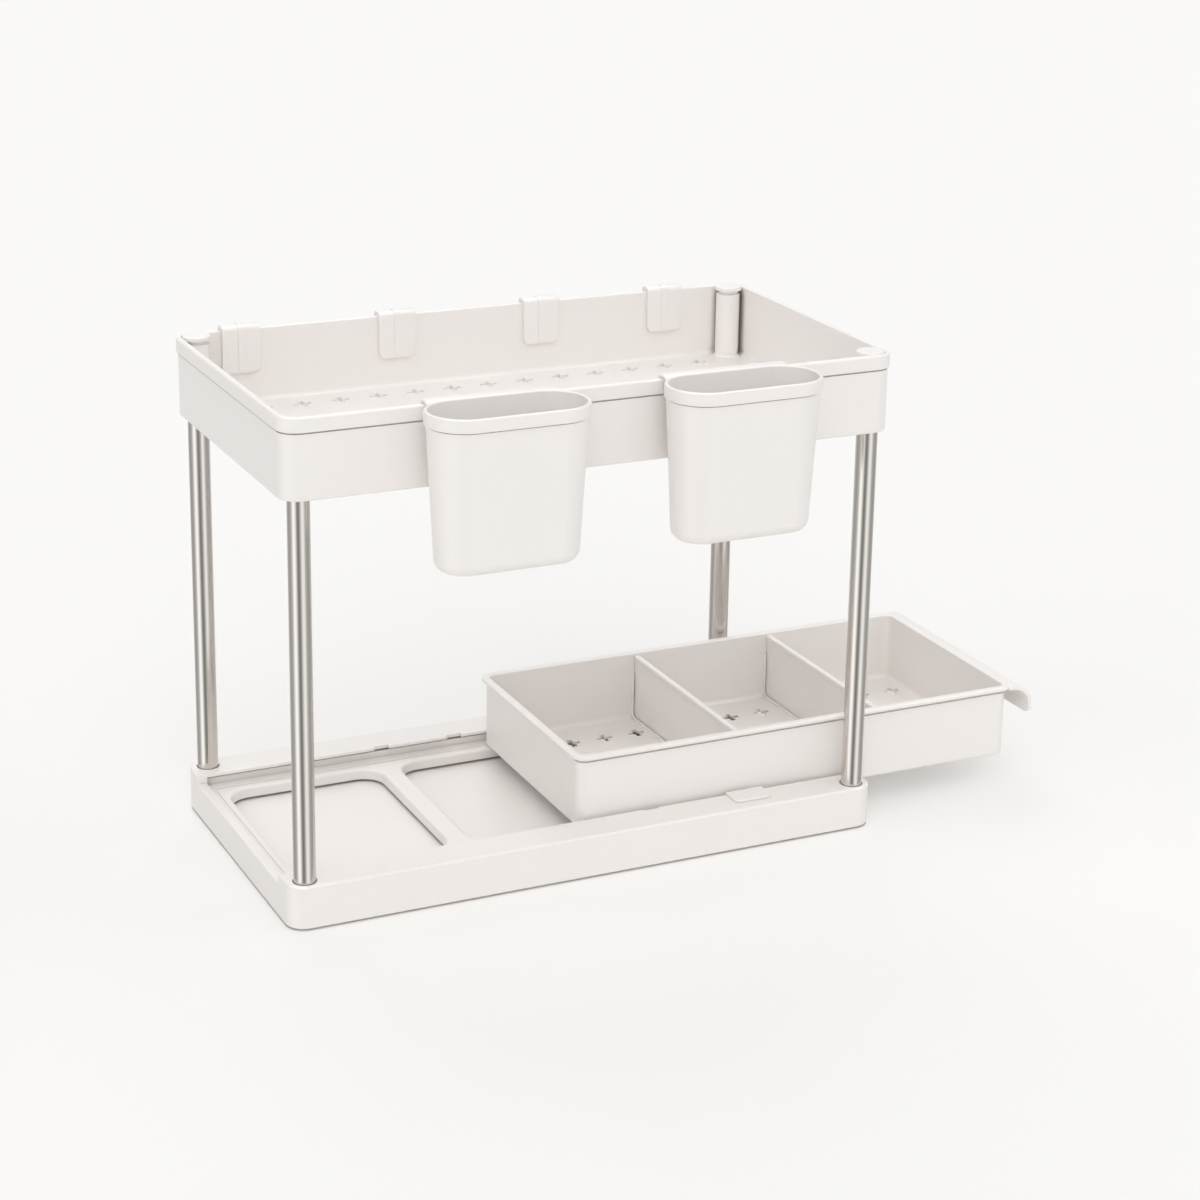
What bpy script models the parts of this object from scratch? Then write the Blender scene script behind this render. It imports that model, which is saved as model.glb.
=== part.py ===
"""Two-tier cabinet organizer.

A base with two long rails carries four steel poles, which carry a tray.  Two cups
hang on the tray's near rim and four hooks on its far rim.  A drawer with two loose
dividers slides along the base between the rails.

Metres, +Z up.  The origin is on the floor under the middle of the base.  +X runs
along the length, towards the drawer's handle, and the cups hang on the -Y side.
The drawer stands partly pulled out.
"""

import math

import bmesh
import bpy
from mathutils import Vector

# Fits and cutting
SEAT_GAP = 0.0003
OVERRUN = 0.002
BITE = 0.0006

# Base: deck between two long rails, hollow underneath
BASE_LENGTH = 0.390
BASE_WIDTH = 0.206
BASE_CORNER = 0.012
BASE_EDGE = 0.0012
BASE_WALL = 0.0025
RAIL_HEIGHT = 0.028
RAIL_WIDTH = 0.0245
DECK_TOP = 0.020
LIP_OVERHANG = 0.003
LIP_THICKNESS = 0.002
GROOVE_STOP = 0.005
END_LINE_INSET = 0.005
END_LINE_WIDTH = 0.003
END_LINE_DEPTH = 0.0006
FOOT_RIB_WIDTH = 0.003

# Shallow wells sunk in the deck
WELL_DEPTH = 0.0078
WELL_CORNER = 0.015
WELL_END_MARGIN = 0.0146
WELL_RAIL_MARGIN = 0.0125
WELL_GAP_REACH = 0.0025
WELL_GAP_HEIGHT = 0.0013
WELL_MOUTH = 0.0016
SIDE_WELL_LENGTH = 0.1018
CROSSBAR_WIDTH = 0.0134

# Notches in the rails' lips, where the drawer's side tabs drop in
NOTCH_LENGTH = 0.010
NOTCH_DEPTH = 0.0022
FAR_NOTCH_SHARES = (-0.180, -0.049)
NEAR_NOTCH_SHARES = (0.123,)

# Poles and their sockets
POLE_RADIUS = 0.0066
POLE_WALL = 0.0008
POLE_INSET_LONG = 0.0118
POLE_INSET_WIDE = 0.010
SOCKET_FLOOR = 0.004
SOCKET_MOUTH = 0.0010
SOCKET_MOUTH_DEPTH = 0.0015
BOSS_WALL = 0.0026

# Upper tray, with the same outline as the base
TRAY_BOTTOM = 0.262
TRAY_HEIGHT = 0.049
TRAY_WALL = 0.003
TRAY_FLOOR = 0.0025
TRAY_CORNER = 0.012
TRAY_FILLET = 0.003
TRAY_EDGE = 0.001
RIM_HEIGHT = 0.009
RIM_PROUD = 0.0015
POST_RADIUS = 0.0078
POST_DROP = 0.0022
LOW_POST_DROP = 0.0105
STEM_BORE = 0.0052
STEM_BORE_DEPTH = 0.013
TRAY_DRAIN_COLUMNS = 13
TRAY_DRAIN_ROWS = 5
TRAY_DRAIN_PITCH = 0.0251
TRAY_DRAIN_SHIFT = 0.006
TRAY_DRAIN_MARGIN = 0.018

# Caps on the tray's corner posts
CAP_RADIUS = 0.0088
CAP_THICKNESS = 0.0026
CAP_EDGE = 0.0006
STEM_LENGTH = 0.009

# Plus-shaped drain holes
DRAIN_SPAN = 0.010
DRAIN_ARM = 0.0032

# Hanging cups
CUP_PLACE_SHARES = (-0.1833, 0.1987)
CUP_LENGTH = 0.0985
CUP_DEPTH = 0.046
CUP_HEIGHT = 0.094
CUP_WALL = 0.0022
CUP_FLOOR = 0.0025
CUP_TAPER = 0.0042
CUP_BASE_ROUND = 0.007
CUP_BAND_HEIGHT = 0.008
CUP_BAND_PROUD = 0.0013
CUP_BAND_CHAMFER = 0.0006
CUP_CLEARANCE = 0.0012
CUP_HANGER_LENGTH = 0.081
CUP_HANGER_DROP = 0.011
CUP_HANGER_PLATE = 0.002
CUP_HANGER_TONGUE = 0.018
CUP_HANGER_SPREAD = 0.009

# Hooks over the far rim
HOOK_PLACE_SHARES = (-0.3923, -0.1282, 0.1269, 0.3551)
HOOK_WIDTH = 0.0245
HOOK_PLATE = 0.0018
HOOK_INSIDE_DROP = 0.0275
HOOK_OUTSIDE_DROP = 0.048
HOOK_BEND = 0.0016
HOOK_CORNER = 0.005
HOOK_ARM_WIDTH = 0.012
HOOK_NECK_START = 0.020
HOOK_NECK_LENGTH = 0.010
HOOK_CURL = 0.0075
HOOK_TIP = 0.008
HOOK_LINE_SHIFT = 0.0027
HOOK_LINE_WIDTH = 0.0008
HOOK_LINE_DEPTH = 0.0005

# Drawer
DRAWER_PULLED = 0.1325
DRAWER_LENGTH = 0.310
DRAWER_HEIGHT = 0.0482
DRAWER_SIDE_GAP = 0.0031
DRAWER_LIFT = 0.0004
DRAWER_WALL = 0.0022
DRAWER_FLOOR = 0.0022
DRAWER_CORNER = 0.0065
DRAWER_FILLET = 0.0035
DRAWER_FOOT_ROUND = 0.002
DRAWER_RIM_PROUD = 0.0033
DRAWER_RIM_THICKNESS = 0.0026
DRAWER_RIM_EDGE = 0.0005
DRAWER_DRAIN_COLUMNS = 4
DRAWER_DRAIN_GROUP_SHARES = (0.205, 0.510, 0.842)
DRAWER_DRAIN_PITCH_SHARE = 0.0763
DRAWER_DRAIN_ROWS = 3
DRAWER_DRAIN_ROW_PITCH = 0.0475
TAB_LENGTH = 0.009
TAB_THICKNESS = 0.0032
TAB_LIFT = 0.0004
TAB_CLEARANCE = 0.001
TAB_INSET = 0.012
TAB_PITCH = 0.051

# Handle lip along the drawer's right end
LIP_FLAT = 0.0028
LIP_CURL = 0.013
LIP_TAIL = 0.0065
LIP_PLATE = 0.0024
LIP_CORNER = 0.005

# Dividers and the guide ribs that hold them
DIVIDER_PLACE_SHARES = (0.356, 0.682)
DIVIDER_PLATE = 0.002
DIVIDER_BEAD = 0.004
DIVIDER_BEAD_HEIGHT = 0.0035
DIVIDER_TOP_DROP = 0.001
DIVIDER_CORNER = 0.0045
GUIDE_GAP = 0.0003
GUIDE_RIB_WIDTH = 0.0014
GUIDE_RIB_REACH = 0.0012
GUIDE_RIB_HEIGHT = 0.032
GUIDE_DRAIN_MARGIN = 0.001

# Blank badge clipped over the near rail
BADGE_PLACE_SHARE = 0.291
BADGE_LENGTH = 0.0255
BADGE_REACH = 0.0155
BADGE_PLATE = 0.0012
BADGE_CORNER = 0.0035
BADGE_TONGUE = 0.0009
BADGE_TONGUE_DROP = 0.0028

# Smoothness of round shapes
CORNER_STEPS = 5
EDGE_STEPS = 2
ROUND_SIDES = 24
CUP_SIDES = 28
BEND_STEPS = 4
CURL_STEPS = 10
MOUTH_STEPS = 3
SMOOTH_ANGLE = math.radians(35)
LEVEL_SHARE = 0.001
FLAT_SHARE = 0.9

# Levels and lines that several pieces share
BASE_END = BASE_LENGTH / 2
BASE_SIDE = BASE_WIDTH / 2
RAIL_EDGE = BASE_SIDE - RAIL_WIDTH
GROOVE_WALL = RAIL_EDGE + LIP_OVERHANG
LIP_UNDERSIDE = RAIL_HEIGHT - LIP_THICKNESS
POLE_X = BASE_END - POLE_INSET_LONG
POLE_Y = BASE_SIDE - POLE_INSET_WIDE
BORE_RADIUS = POLE_RADIUS + SEAT_GAP
TRAY_END = BASE_END
TRAY_SIDE = BASE_SIDE
TRAY_TOP = TRAY_BOTTOM + TRAY_HEIGHT
TRAY_FLOOR_TOP = TRAY_BOTTOM + TRAY_FLOOR
TRAY_INNER_SIDE = TRAY_SIDE - TRAY_WALL
RIM_SIDE = TRAY_SIDE + RIM_PROUD
POLE_BOTTOM = SOCKET_FLOOR + SEAT_GAP
DRAWER_BOTTOM = DECK_TOP + DRAWER_LIFT
DRAWER_TOP = DRAWER_BOTTOM + DRAWER_HEIGHT
DRAWER_FLOOR_TOP = DRAWER_BOTTOM + DRAWER_FLOOR
DRAWER_SIDE = RAIL_EDGE - DRAWER_SIDE_GAP
DRAWER_INNER_SIDE = DRAWER_SIDE - DRAWER_WALL
DRAWER_LIP_REACH = LIP_FLAT + LIP_CURL + LIP_PLATE / 2
DRAWER_RIGHT = BASE_END - DRAWER_LIP_REACH + DRAWER_PULLED
DRAWER_LEFT = DRAWER_RIGHT - DRAWER_LENGTH
POLE_SPOTS = {
    "near_left": (-POLE_X, -POLE_Y),
    "far_left": (-POLE_X, POLE_Y),
    "near_right": (POLE_X, -POLE_Y),
    "far_right": (POLE_X, POLE_Y),
}
POST_TOPS = {label: TRAY_TOP - POST_DROP for label in POLE_SPOTS}
POST_TOPS["near_left"] = TRAY_TOP - LOW_POST_DROP


def clear_scene():
    """Start from an empty scene."""
    for item in list(bpy.data.objects):
        bpy.data.objects.remove(item, do_unlink=True)


def make_collection(name):
    collection = bpy.data.collections.new(name)
    bpy.context.scene.collection.children.link(collection)
    return collection


def make_material(name, colour, roughness, metallic):
    material = bpy.data.materials.new(name)
    material.use_nodes = True
    shader = material.node_tree.nodes["Principled BSDF"]
    shader.inputs["Base Color"].default_value = (*colour, 1)
    shader.inputs["Roughness"].default_value = roughness
    shader.inputs["Metallic"].default_value = metallic
    return material


clear_scene()
PARTS = make_collection("two_tier_cabinet_organizer")
CUTTERS = make_collection("cutters")


def add_object(name, shape, collection, smooth=True):
    """Turn a bmesh into an object whose faces point outwards."""
    bmesh.ops.recalc_face_normals(shape, faces=shape.faces)
    mesh = bpy.data.meshes.new(name)
    shape.to_mesh(mesh)
    shape.free()
    if smooth:
        mesh.shade_smooth()
        mesh.set_sharp_from_angle(angle=SMOOTH_ANGLE)
    item = bpy.data.objects.new(name, mesh)
    collection.objects.link(item)
    return item


def add_part(name, shape, material, smooth=True):
    item = add_object(name, shape, PARTS, smooth)
    item.data.materials.append(material)
    return item


def add_cutter(name, shape):
    """A shape that only cuts or joins another one, and isn't a part itself."""
    item = add_object(name, shape, CUTTERS, smooth=False)
    item.hide_render = True
    item.display_type = "WIRE"
    return item


def combine(target, tool, operation):
    modifier = target.modifiers.new(tool.name, "BOOLEAN")
    modifier.operation = operation
    modifier.solver = "EXACT"
    modifier.object = tool


def cut(target, name, shape):
    combine(target, add_cutter(name, shape), "DIFFERENCE")


def join(target, name, shape):
    combine(target, add_cutter(name, shape), "UNION")


def upright_edges(shape):
    return [e for e in shape.edges if e.verts[0].co.xy == e.verts[1].co.xy]


def level_edges(shape, level):
    heights = [v.co.z for v in shape.verts]
    reach = (max(heights) - min(heights)) * LEVEL_SHARE
    return [e for e in shape.edges if all(abs(v.co.z - level) < reach for v in e.verts)]


def bevel(shape, edges, radius, steps):
    bmesh.ops.bevel(shape, geom=edges, offset=radius, offset_type="OFFSET", segments=steps,
                    profile=0.5, affect="EDGES", material=-1, clamp_overlap=True)


def block(low, high, corner=0, foot=0, crown=0, corner_steps=CORNER_STEPS):
    """A box between two corners, with rounded upright, bottom and top edges."""
    shape = bmesh.new()
    bmesh.ops.create_cube(shape, size=1)
    low, high = Vector(low), Vector(high)
    bmesh.ops.scale(shape, vec=high - low, verts=shape.verts)
    bmesh.ops.translate(shape, vec=(low + high) / 2, verts=shape.verts)
    if corner:
        bevel(shape, upright_edges(shape), corner, corner_steps)
    if foot:
        bevel(shape, level_edges(shape, low.z), foot, EDGE_STEPS)
    if crown:
        bevel(shape, level_edges(shape, high.z), crown, EDGE_STEPS)
    return shape


def rod(centre, radius, bottom, top, crown=0, sides=ROUND_SIDES):
    """An upright cylinder, with a rounded top edge if asked."""
    shape = bmesh.new()
    bmesh.ops.create_cone(shape, cap_ends=True, segments=sides, radius1=radius,
                          radius2=radius, depth=top - bottom)
    place = Vector((centre[0], centre[1], (bottom + top) / 2))
    bmesh.ops.translate(shape, vec=place, verts=shape.verts)
    if crown:
        bevel(shape, level_edges(shape, top), crown, EDGE_STEPS)
    return shape


def gather(shapes):
    """Put several separate shapes into one bmesh."""
    whole = bmesh.new()
    for shape in shapes:
        piece = bpy.data.meshes.new("piece")
        shape.to_mesh(piece)
        shape.free()
        whole.from_mesh(piece)
        bpy.data.meshes.remove(piece)
    return whole


def bent_path(corners, radius, steps):
    """A path through the corners, each inner corner rounded to the radius."""
    path = [Vector(corners[0])]
    for before, corner, after in zip(corners, corners[1:], corners[2:]):
        corner = Vector(corner)
        to_before = (Vector(before) - corner).normalized()
        to_after = (Vector(after) - corner).normalized()
        half = to_before.angle(to_after) / 2
        middle = corner + (to_before + to_after).normalized() * radius / math.sin(half)
        start = corner + to_before * radius / math.tan(half) - middle
        end = corner + to_after * radius / math.tan(half) - middle
        for step in range(steps + 1):
            share = step / steps
            path.append(middle + (start * (1 - share) + end * share).normalized() * radius)
    path.append(Vector(corners[-1]))
    return path


def strap(stations):
    """A sheet along stations of (place, width direction, half width), with no thickness yet."""
    shape = bmesh.new()
    rows = len(stations) - 1
    bmesh.ops.create_grid(shape, x_segments=1, y_segments=rows, size=1)
    for vert in shape.verts:
        row = round((vert.co.y + 1) / 2 * rows)
        side = math.copysign(1, vert.co.x)
        place, across, half = stations[row]
        vert.co = place + across * (side * half)
    return shape


def thicken(sheet, plate):
    """Give a sheet its thickness, half on each side."""
    modifier = sheet.modifiers.new("plate", "SOLIDIFY")
    modifier.thickness = plate
    modifier.offset = 0
    modifier.use_even_offset = True


def plus_holes(places, bottom, top):
    """Plus-shaped cutters standing at the given places."""
    reach = DRAIN_SPAN / 2
    arm = DRAIN_ARM / 2
    outline = [(arm, arm), (arm, reach), (-arm, reach), (-arm, arm), (-reach, arm), (-reach, -arm),
               (-arm, -arm), (-arm, -reach), (arm, -reach), (arm, -arm), (reach, -arm), (reach, arm)]
    shape = bmesh.new()
    for x, y in places:
        corners = [shape.verts.new((x + dx, y + dy, bottom)) for dx, dy in outline]
        face = shape.faces.new(corners)
        grown = bmesh.ops.extrude_face_region(shape, geom=[face])
        raised = [v for v in grown["geom"] if isinstance(v, bmesh.types.BMVert)]
        bmesh.ops.translate(shape, vec=(0, 0, top - bottom), verts=raised)
    return shape


def grid_places(columns, rows):
    return [(x, y) for x in columns for y in rows]


def spread(count, pitch, middle=0):
    """Evenly spaced places about a middle."""
    return [middle + (index - (count - 1) / 2) * pitch for index in range(count)]


CREAM_PLASTIC = make_material("cream_plastic", (0.86, 0.82, 0.79), 0.45, 0)
BRUSHED_STEEL = make_material("brushed_steel", (0.62, 0.60, 0.58), 0.32, 1)


def well_spans():
    """Where the three wells start and end along the base."""
    first = -BASE_END + WELL_END_MARGIN
    inner = first + SIDE_WELL_LENGTH
    middle = inner + CROSSBAR_WIDTH
    return [(first, inner), (middle, -middle), (-inner, -first)]


def well_mouth(low, high, mouth):
    """A cutter that rounds a well's top edge, widening upwards along a quarter circle."""
    layers = []
    for step in range(MOUTH_STEPS + 1):
        angle = math.pi / 2 * step / MOUTH_STEPS
        out = mouth * (1 - math.cos(angle))
        layers.append((DECK_TOP - mouth * (1 - math.sin(angle)), out))
    layers.append((DECK_TOP + OVERRUN, mouth))
    shape = bmesh.new()
    loops = []
    for height, out in layers:
        ring = block((low[0] - out, low[1] - out, height),
                     (high[0] + out, high[1] + out, height + OVERRUN), corner=WELL_CORNER + out)
        outline = [v.co.copy() for f in ring.faces if f.normal.z < -FLAT_SHARE for v in f.verts]
        ring.free()
        verts = [shape.verts.new(place) for place in outline]
        loops.append([shape.edges.new(pair) for pair in zip(verts, verts[1:] + verts[:1])])
    for lower, upper in zip(loops, loops[1:]):
        bmesh.ops.bridge_loops(shape, edges=lower + upper)
    for loop in (loops[0], loops[-1]):
        bmesh.ops.contextual_create(shape, geom=loop)
    return shape


def build_base():
    base = add_part("base_frame", block((-BASE_END, -BASE_SIDE, 0), (BASE_END, BASE_SIDE, RAIL_HEIGHT),
                                        corner=BASE_CORNER, crown=BASE_EDGE), CREAM_PLASTIC)
    past_end = BASE_END + OVERRUN
    past_top = RAIL_HEIGHT + OVERRUN
    cut(base, "deck_channel", block((-past_end, -RAIL_EDGE, DECK_TOP), (past_end, RAIL_EDGE, past_top)))
    groove_end = BASE_END - GROOVE_STOP
    cut(base, "lip_grooves", block((-groove_end, -GROOVE_WALL, DECK_TOP),
                                   (groove_end, GROOVE_WALL, LIP_UNDERSIDE)))

    well_side = RAIL_EDGE - WELL_RAIL_MARGIN
    well_floor = DECK_TOP - WELL_DEPTH
    gap_side = well_side + WELL_GAP_REACH
    inner_end = BASE_END - BASE_WALL
    inner_side = BASE_SIDE - BASE_WALL
    deck_underside = DECK_TOP - BASE_WALL
    cut(base, "deck_hollow", block((-inner_end, -inner_side, -OVERRUN),
                                   (inner_end, inner_side, deck_underside),
                                   corner=BASE_CORNER - BASE_WALL))
    rail_hollow_start = GROOVE_WALL + BASE_WALL
    skin = BASE_WALL
    join(base, "deck_block", block((-inner_end - BITE, -gap_side - skin, well_floor - skin),
                                   (inner_end + BITE, gap_side + skin, deck_underside + BITE)))
    for side, sign in (("near", -1), ("far", 1)):
        edges = sorted((sign * rail_hollow_start, sign * inner_side))
        cut(base, side + "_rail_hollow", block((-inner_end, edges[0], -OVERRUN),
                                               (inner_end, edges[1], RAIL_HEIGHT - BASE_WALL)))

    gap_top = well_floor + WELL_GAP_HEIGHT
    for index, (start, end) in enumerate(well_spans(), 1):
        label = "well_%d_" % index
        cut(base, label + "space", block((start, -well_side, (well_floor + gap_top) / 2),
                                         (end, well_side, DECK_TOP + OVERRUN), corner=WELL_CORNER))
        cut(base, label + "mouth", well_mouth((start, -well_side), (end, well_side), WELL_MOUTH))
        cut(base, label + "gap", block((start - WELL_GAP_REACH, -gap_side, well_floor),
                                       (end + WELL_GAP_REACH, gap_side, gap_top),
                                       corner=WELL_CORNER + WELL_GAP_REACH))

    rib_half = FOOT_RIB_WIDTH / 2
    join(base, "foot_rib", block((-rib_half, -gap_side - skin, 0),
                                 (rib_half, gap_side + skin, well_floor - BITE)))

    boss_radius = BORE_RADIUS + BOSS_WALL
    bosses = [rod(spot, boss_radius, 0, RAIL_HEIGHT - BITE) for spot in POLE_SPOTS.values()]
    join(base, "pole_bosses", gather(bosses))
    bores = [rod(spot, BORE_RADIUS, SOCKET_FLOOR, past_top) for spot in POLE_SPOTS.values()]
    cut(base, "pole_sockets", gather(bores))
    mouths = [rod(spot, POLE_RADIUS + SOCKET_MOUTH, RAIL_HEIGHT - SOCKET_MOUTH_DEPTH, past_top)
              for spot in POLE_SPOTS.values()]
    cut(base, "socket_mouths", gather(mouths))

    notches = []
    for shares, sign in ((FAR_NOTCH_SHARES, 1), (NEAR_NOTCH_SHARES, -1)):
        edges = sorted((sign * (RAIL_EDGE - OVERRUN), sign * (RAIL_EDGE + NOTCH_DEPTH)))
        for share in shares:
            start = share * BASE_LENGTH - NOTCH_LENGTH / 2
            notches.append(block((start, edges[0], LIP_UNDERSIDE - BITE),
                                 (start + NOTCH_LENGTH, edges[1], past_top)))
    cut(base, "lip_notches", gather(notches))

    line_start = BASE_END - END_LINE_INSET - END_LINE_WIDTH
    line_side = RAIL_EDGE - END_LINE_INSET
    lines = []
    for sign in (-1, 1):
        edges = sorted((sign * line_start, sign * (line_start + END_LINE_WIDTH)))
        lines.append(block((edges[0], -line_side, DECK_TOP - END_LINE_DEPTH),
                           (edges[1], line_side, DECK_TOP + OVERRUN)))
    cut(base, "end_lines", gather(lines))


def build_poles():
    """Thin steel tubes, open at both ends."""
    for label, spot in POLE_SPOTS.items():
        top = POST_TOPS[label] - STEM_BORE_DEPTH - SEAT_GAP
        pole = add_part("pole_" + label, rod(spot, POLE_RADIUS, POLE_BOTTOM, top), BRUSHED_STEEL)
        cut(pole, "bore_" + label, rod(spot, POLE_RADIUS - POLE_WALL, POLE_BOTTOM - OVERRUN,
                                       top + OVERRUN))


def build_tray():
    tray = add_part("upper_tray", block((-TRAY_END, -TRAY_SIDE, TRAY_BOTTOM),
                                        (TRAY_END, TRAY_SIDE, TRAY_TOP - BITE),
                                        corner=TRAY_CORNER, foot=TRAY_EDGE), CREAM_PLASTIC)
    join(tray, "rim_band", block((-TRAY_END - RIM_PROUD, -RIM_SIDE, TRAY_TOP - RIM_HEIGHT),
                                 (TRAY_END + RIM_PROUD, RIM_SIDE, TRAY_TOP),
                                 corner=TRAY_CORNER + RIM_PROUD, crown=TRAY_EDGE))
    inner_end = TRAY_END - TRAY_WALL
    cut(tray, "tray_space", block((-inner_end, -TRAY_INNER_SIDE, TRAY_FLOOR_TOP),
                                  (inner_end, TRAY_INNER_SIDE, TRAY_TOP + OVERRUN),
                                  corner=TRAY_CORNER - TRAY_WALL, foot=TRAY_FILLET))

    posts, webs, bores, stems, seats = [], [], [], [], []
    for label, (x, y) in POLE_SPOTS.items():
        spot = (x, y)
        top = POST_TOPS[label]
        shoulder = top - STEM_BORE_DEPTH
        x_edges = sorted((x, math.copysign(inner_end + BITE, x)))
        y_edges = sorted((y, math.copysign(TRAY_INNER_SIDE + BITE, y)))
        posts.append(rod(spot, POST_RADIUS, TRAY_FLOOR_TOP - BITE, top))
        webs.append(block((x_edges[0], y_edges[0], TRAY_FLOOR_TOP - BITE),
                          (x_edges[1], y_edges[1], top - BITE)))
        bores.append(rod(spot, BORE_RADIUS, TRAY_BOTTOM - OVERRUN, shoulder))
        stems.append(rod(spot, STEM_BORE, shoulder - BITE, TRAY_TOP + OVERRUN))
        seats.append(rod(spot, CAP_RADIUS + SEAT_GAP, top, TRAY_TOP + OVERRUN))
    join(tray, "corner_posts", gather(posts))
    join(tray, "corner_webs", gather(webs))
    cut(tray, "post_bores", gather(bores))
    cut(tray, "stem_bores", gather(stems))
    cut(tray, "cap_seats", gather(seats))

    columns = spread(TRAY_DRAIN_COLUMNS, TRAY_DRAIN_PITCH, TRAY_DRAIN_SHIFT)
    outer_row = TRAY_INNER_SIDE - TRAY_DRAIN_MARGIN
    rows = spread(TRAY_DRAIN_ROWS, 2 * outer_row / (TRAY_DRAIN_ROWS - 1))
    cut(tray, "tray_drains", plus_holes(grid_places(columns, rows), TRAY_BOTTOM - OVERRUN,
                                        TRAY_FLOOR_TOP + OVERRUN))


def build_caps():
    """Round caps whose stems press into the tray's corner posts."""
    for label, spot in POLE_SPOTS.items():
        cap_bottom = POST_TOPS[label] + SEAT_GAP
        cap = add_part("cap_" + label, rod(spot, CAP_RADIUS, cap_bottom, cap_bottom + CAP_THICKNESS,
                                           crown=CAP_EDGE), CREAM_PLASTIC)
        join(cap, "stem_" + label, rod(spot, STEM_BORE - SEAT_GAP, cap_bottom - STEM_LENGTH,
                                       cap_bottom + BITE))


def oval_loft(levels, straight):
    """A closed body through oval rings, given as (height, end radius) from the bottom up."""
    shape = bmesh.new()
    loops = []
    for height, radius in levels:
        ring = bmesh.ops.create_circle(shape, segments=CUP_SIDES, radius=radius)["verts"]
        turn = math.pi / CUP_SIDES
        for vert in ring:
            angle = math.atan2(vert.co.y, vert.co.x) + turn
            x, y = radius * math.cos(angle), radius * math.sin(angle)
            vert.co = (x + math.copysign(straight, x), y, height)
        loops.append(list({edge for vert in ring for edge in vert.link_edges}))
    for lower, upper in zip(loops, loops[1:]):
        bmesh.ops.bridge_loops(shape, edges=lower + upper)
    for loop in (loops[0], loops[-1]):
        bmesh.ops.contextual_create(shape, geom=loop)
    return shape


def build_cup(number, place):
    """A tapered oval cup with a rim band and a hanger over the tray's rim."""
    top = TRAY_TOP + SEAT_GAP + CUP_HANGER_PLATE
    bottom = top - CUP_HEIGHT
    band_bottom = top - CUP_BAND_HEIGHT
    band_radius = CUP_DEPTH / 2
    straight = CUP_LENGTH / 2 - band_radius
    top_radius = band_radius - CUP_BAND_PROUD
    foot_radius = top_radius - CUP_TAPER
    centre = Vector((place, -RIM_SIDE - CUP_CLEARANCE - band_radius, 0))

    levels = []
    for step in range(EDGE_STEPS + 2):
        angle = math.pi / 2 * step / (EDGE_STEPS + 1)
        levels.append((bottom + CUP_BASE_ROUND * (1 - math.cos(angle)),
                       foot_radius - CUP_BASE_ROUND * (1 - math.sin(angle))))
    levels += [(band_bottom, top_radius), (band_bottom + CUP_BAND_CHAMFER, band_radius),
               (top - TRAY_EDGE, band_radius), (top, band_radius - TRAY_EDGE)]
    outside = oval_loft(levels, straight)
    bmesh.ops.translate(outside, vec=centre, verts=outside.verts)
    label = "hanging_cup_%d" % number
    cup = add_part(label, outside, CREAM_PLASTIC)

    hanger_end = CUP_HANGER_LENGTH / 2
    back = -RIM_SIDE - CUP_CLEARANCE / 2
    join(cup, label + "_hanger_back", block((place - hanger_end, back - CUP_HANGER_SPREAD,
                                             top - CUP_HANGER_DROP),
                                            (place + hanger_end, back, top - BITE)))
    tongue_face = -TRAY_INNER_SIDE + SEAT_GAP
    bridge_end = hanger_end - BITE
    join(cup, label + "_hanger_bridge", block((place - bridge_end, back - BITE - CUP_HANGER_PLATE,
                                               top - CUP_HANGER_PLATE),
                                              (place + bridge_end, tongue_face + CUP_HANGER_PLATE,
                                               top - BITE / 2)))
    tongue_end = bridge_end - BITE
    join(cup, label + "_hanger_tongue", block((place - tongue_end, tongue_face,
                                               top - CUP_HANGER_PLATE - CUP_HANGER_TONGUE),
                                              (place + tongue_end,
                                               tongue_face + CUP_HANGER_PLATE - BITE / 2,
                                               top - BITE)))

    inner_top = top_radius - CUP_WALL + CUP_BAND_PROUD
    inner_foot = foot_radius - CUP_WALL
    inner_round = CUP_BASE_ROUND - CUP_WALL
    floor = bottom + CUP_FLOOR
    levels = []
    for step in range(EDGE_STEPS + 2):
        angle = math.pi / 2 * step / (EDGE_STEPS + 1)
        levels.append((floor + inner_round * (1 - math.cos(angle)),
                       inner_foot - inner_round * (1 - math.sin(angle))))
    flare = (inner_top - inner_foot) / (top - floor - inner_round)
    levels.append((top + OVERRUN, inner_top + flare * OVERRUN))
    inside = oval_loft(levels, straight)
    bmesh.ops.translate(inside, vec=centre, verts=inside.verts)
    cut(cup, label + "_space", inside)


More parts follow.
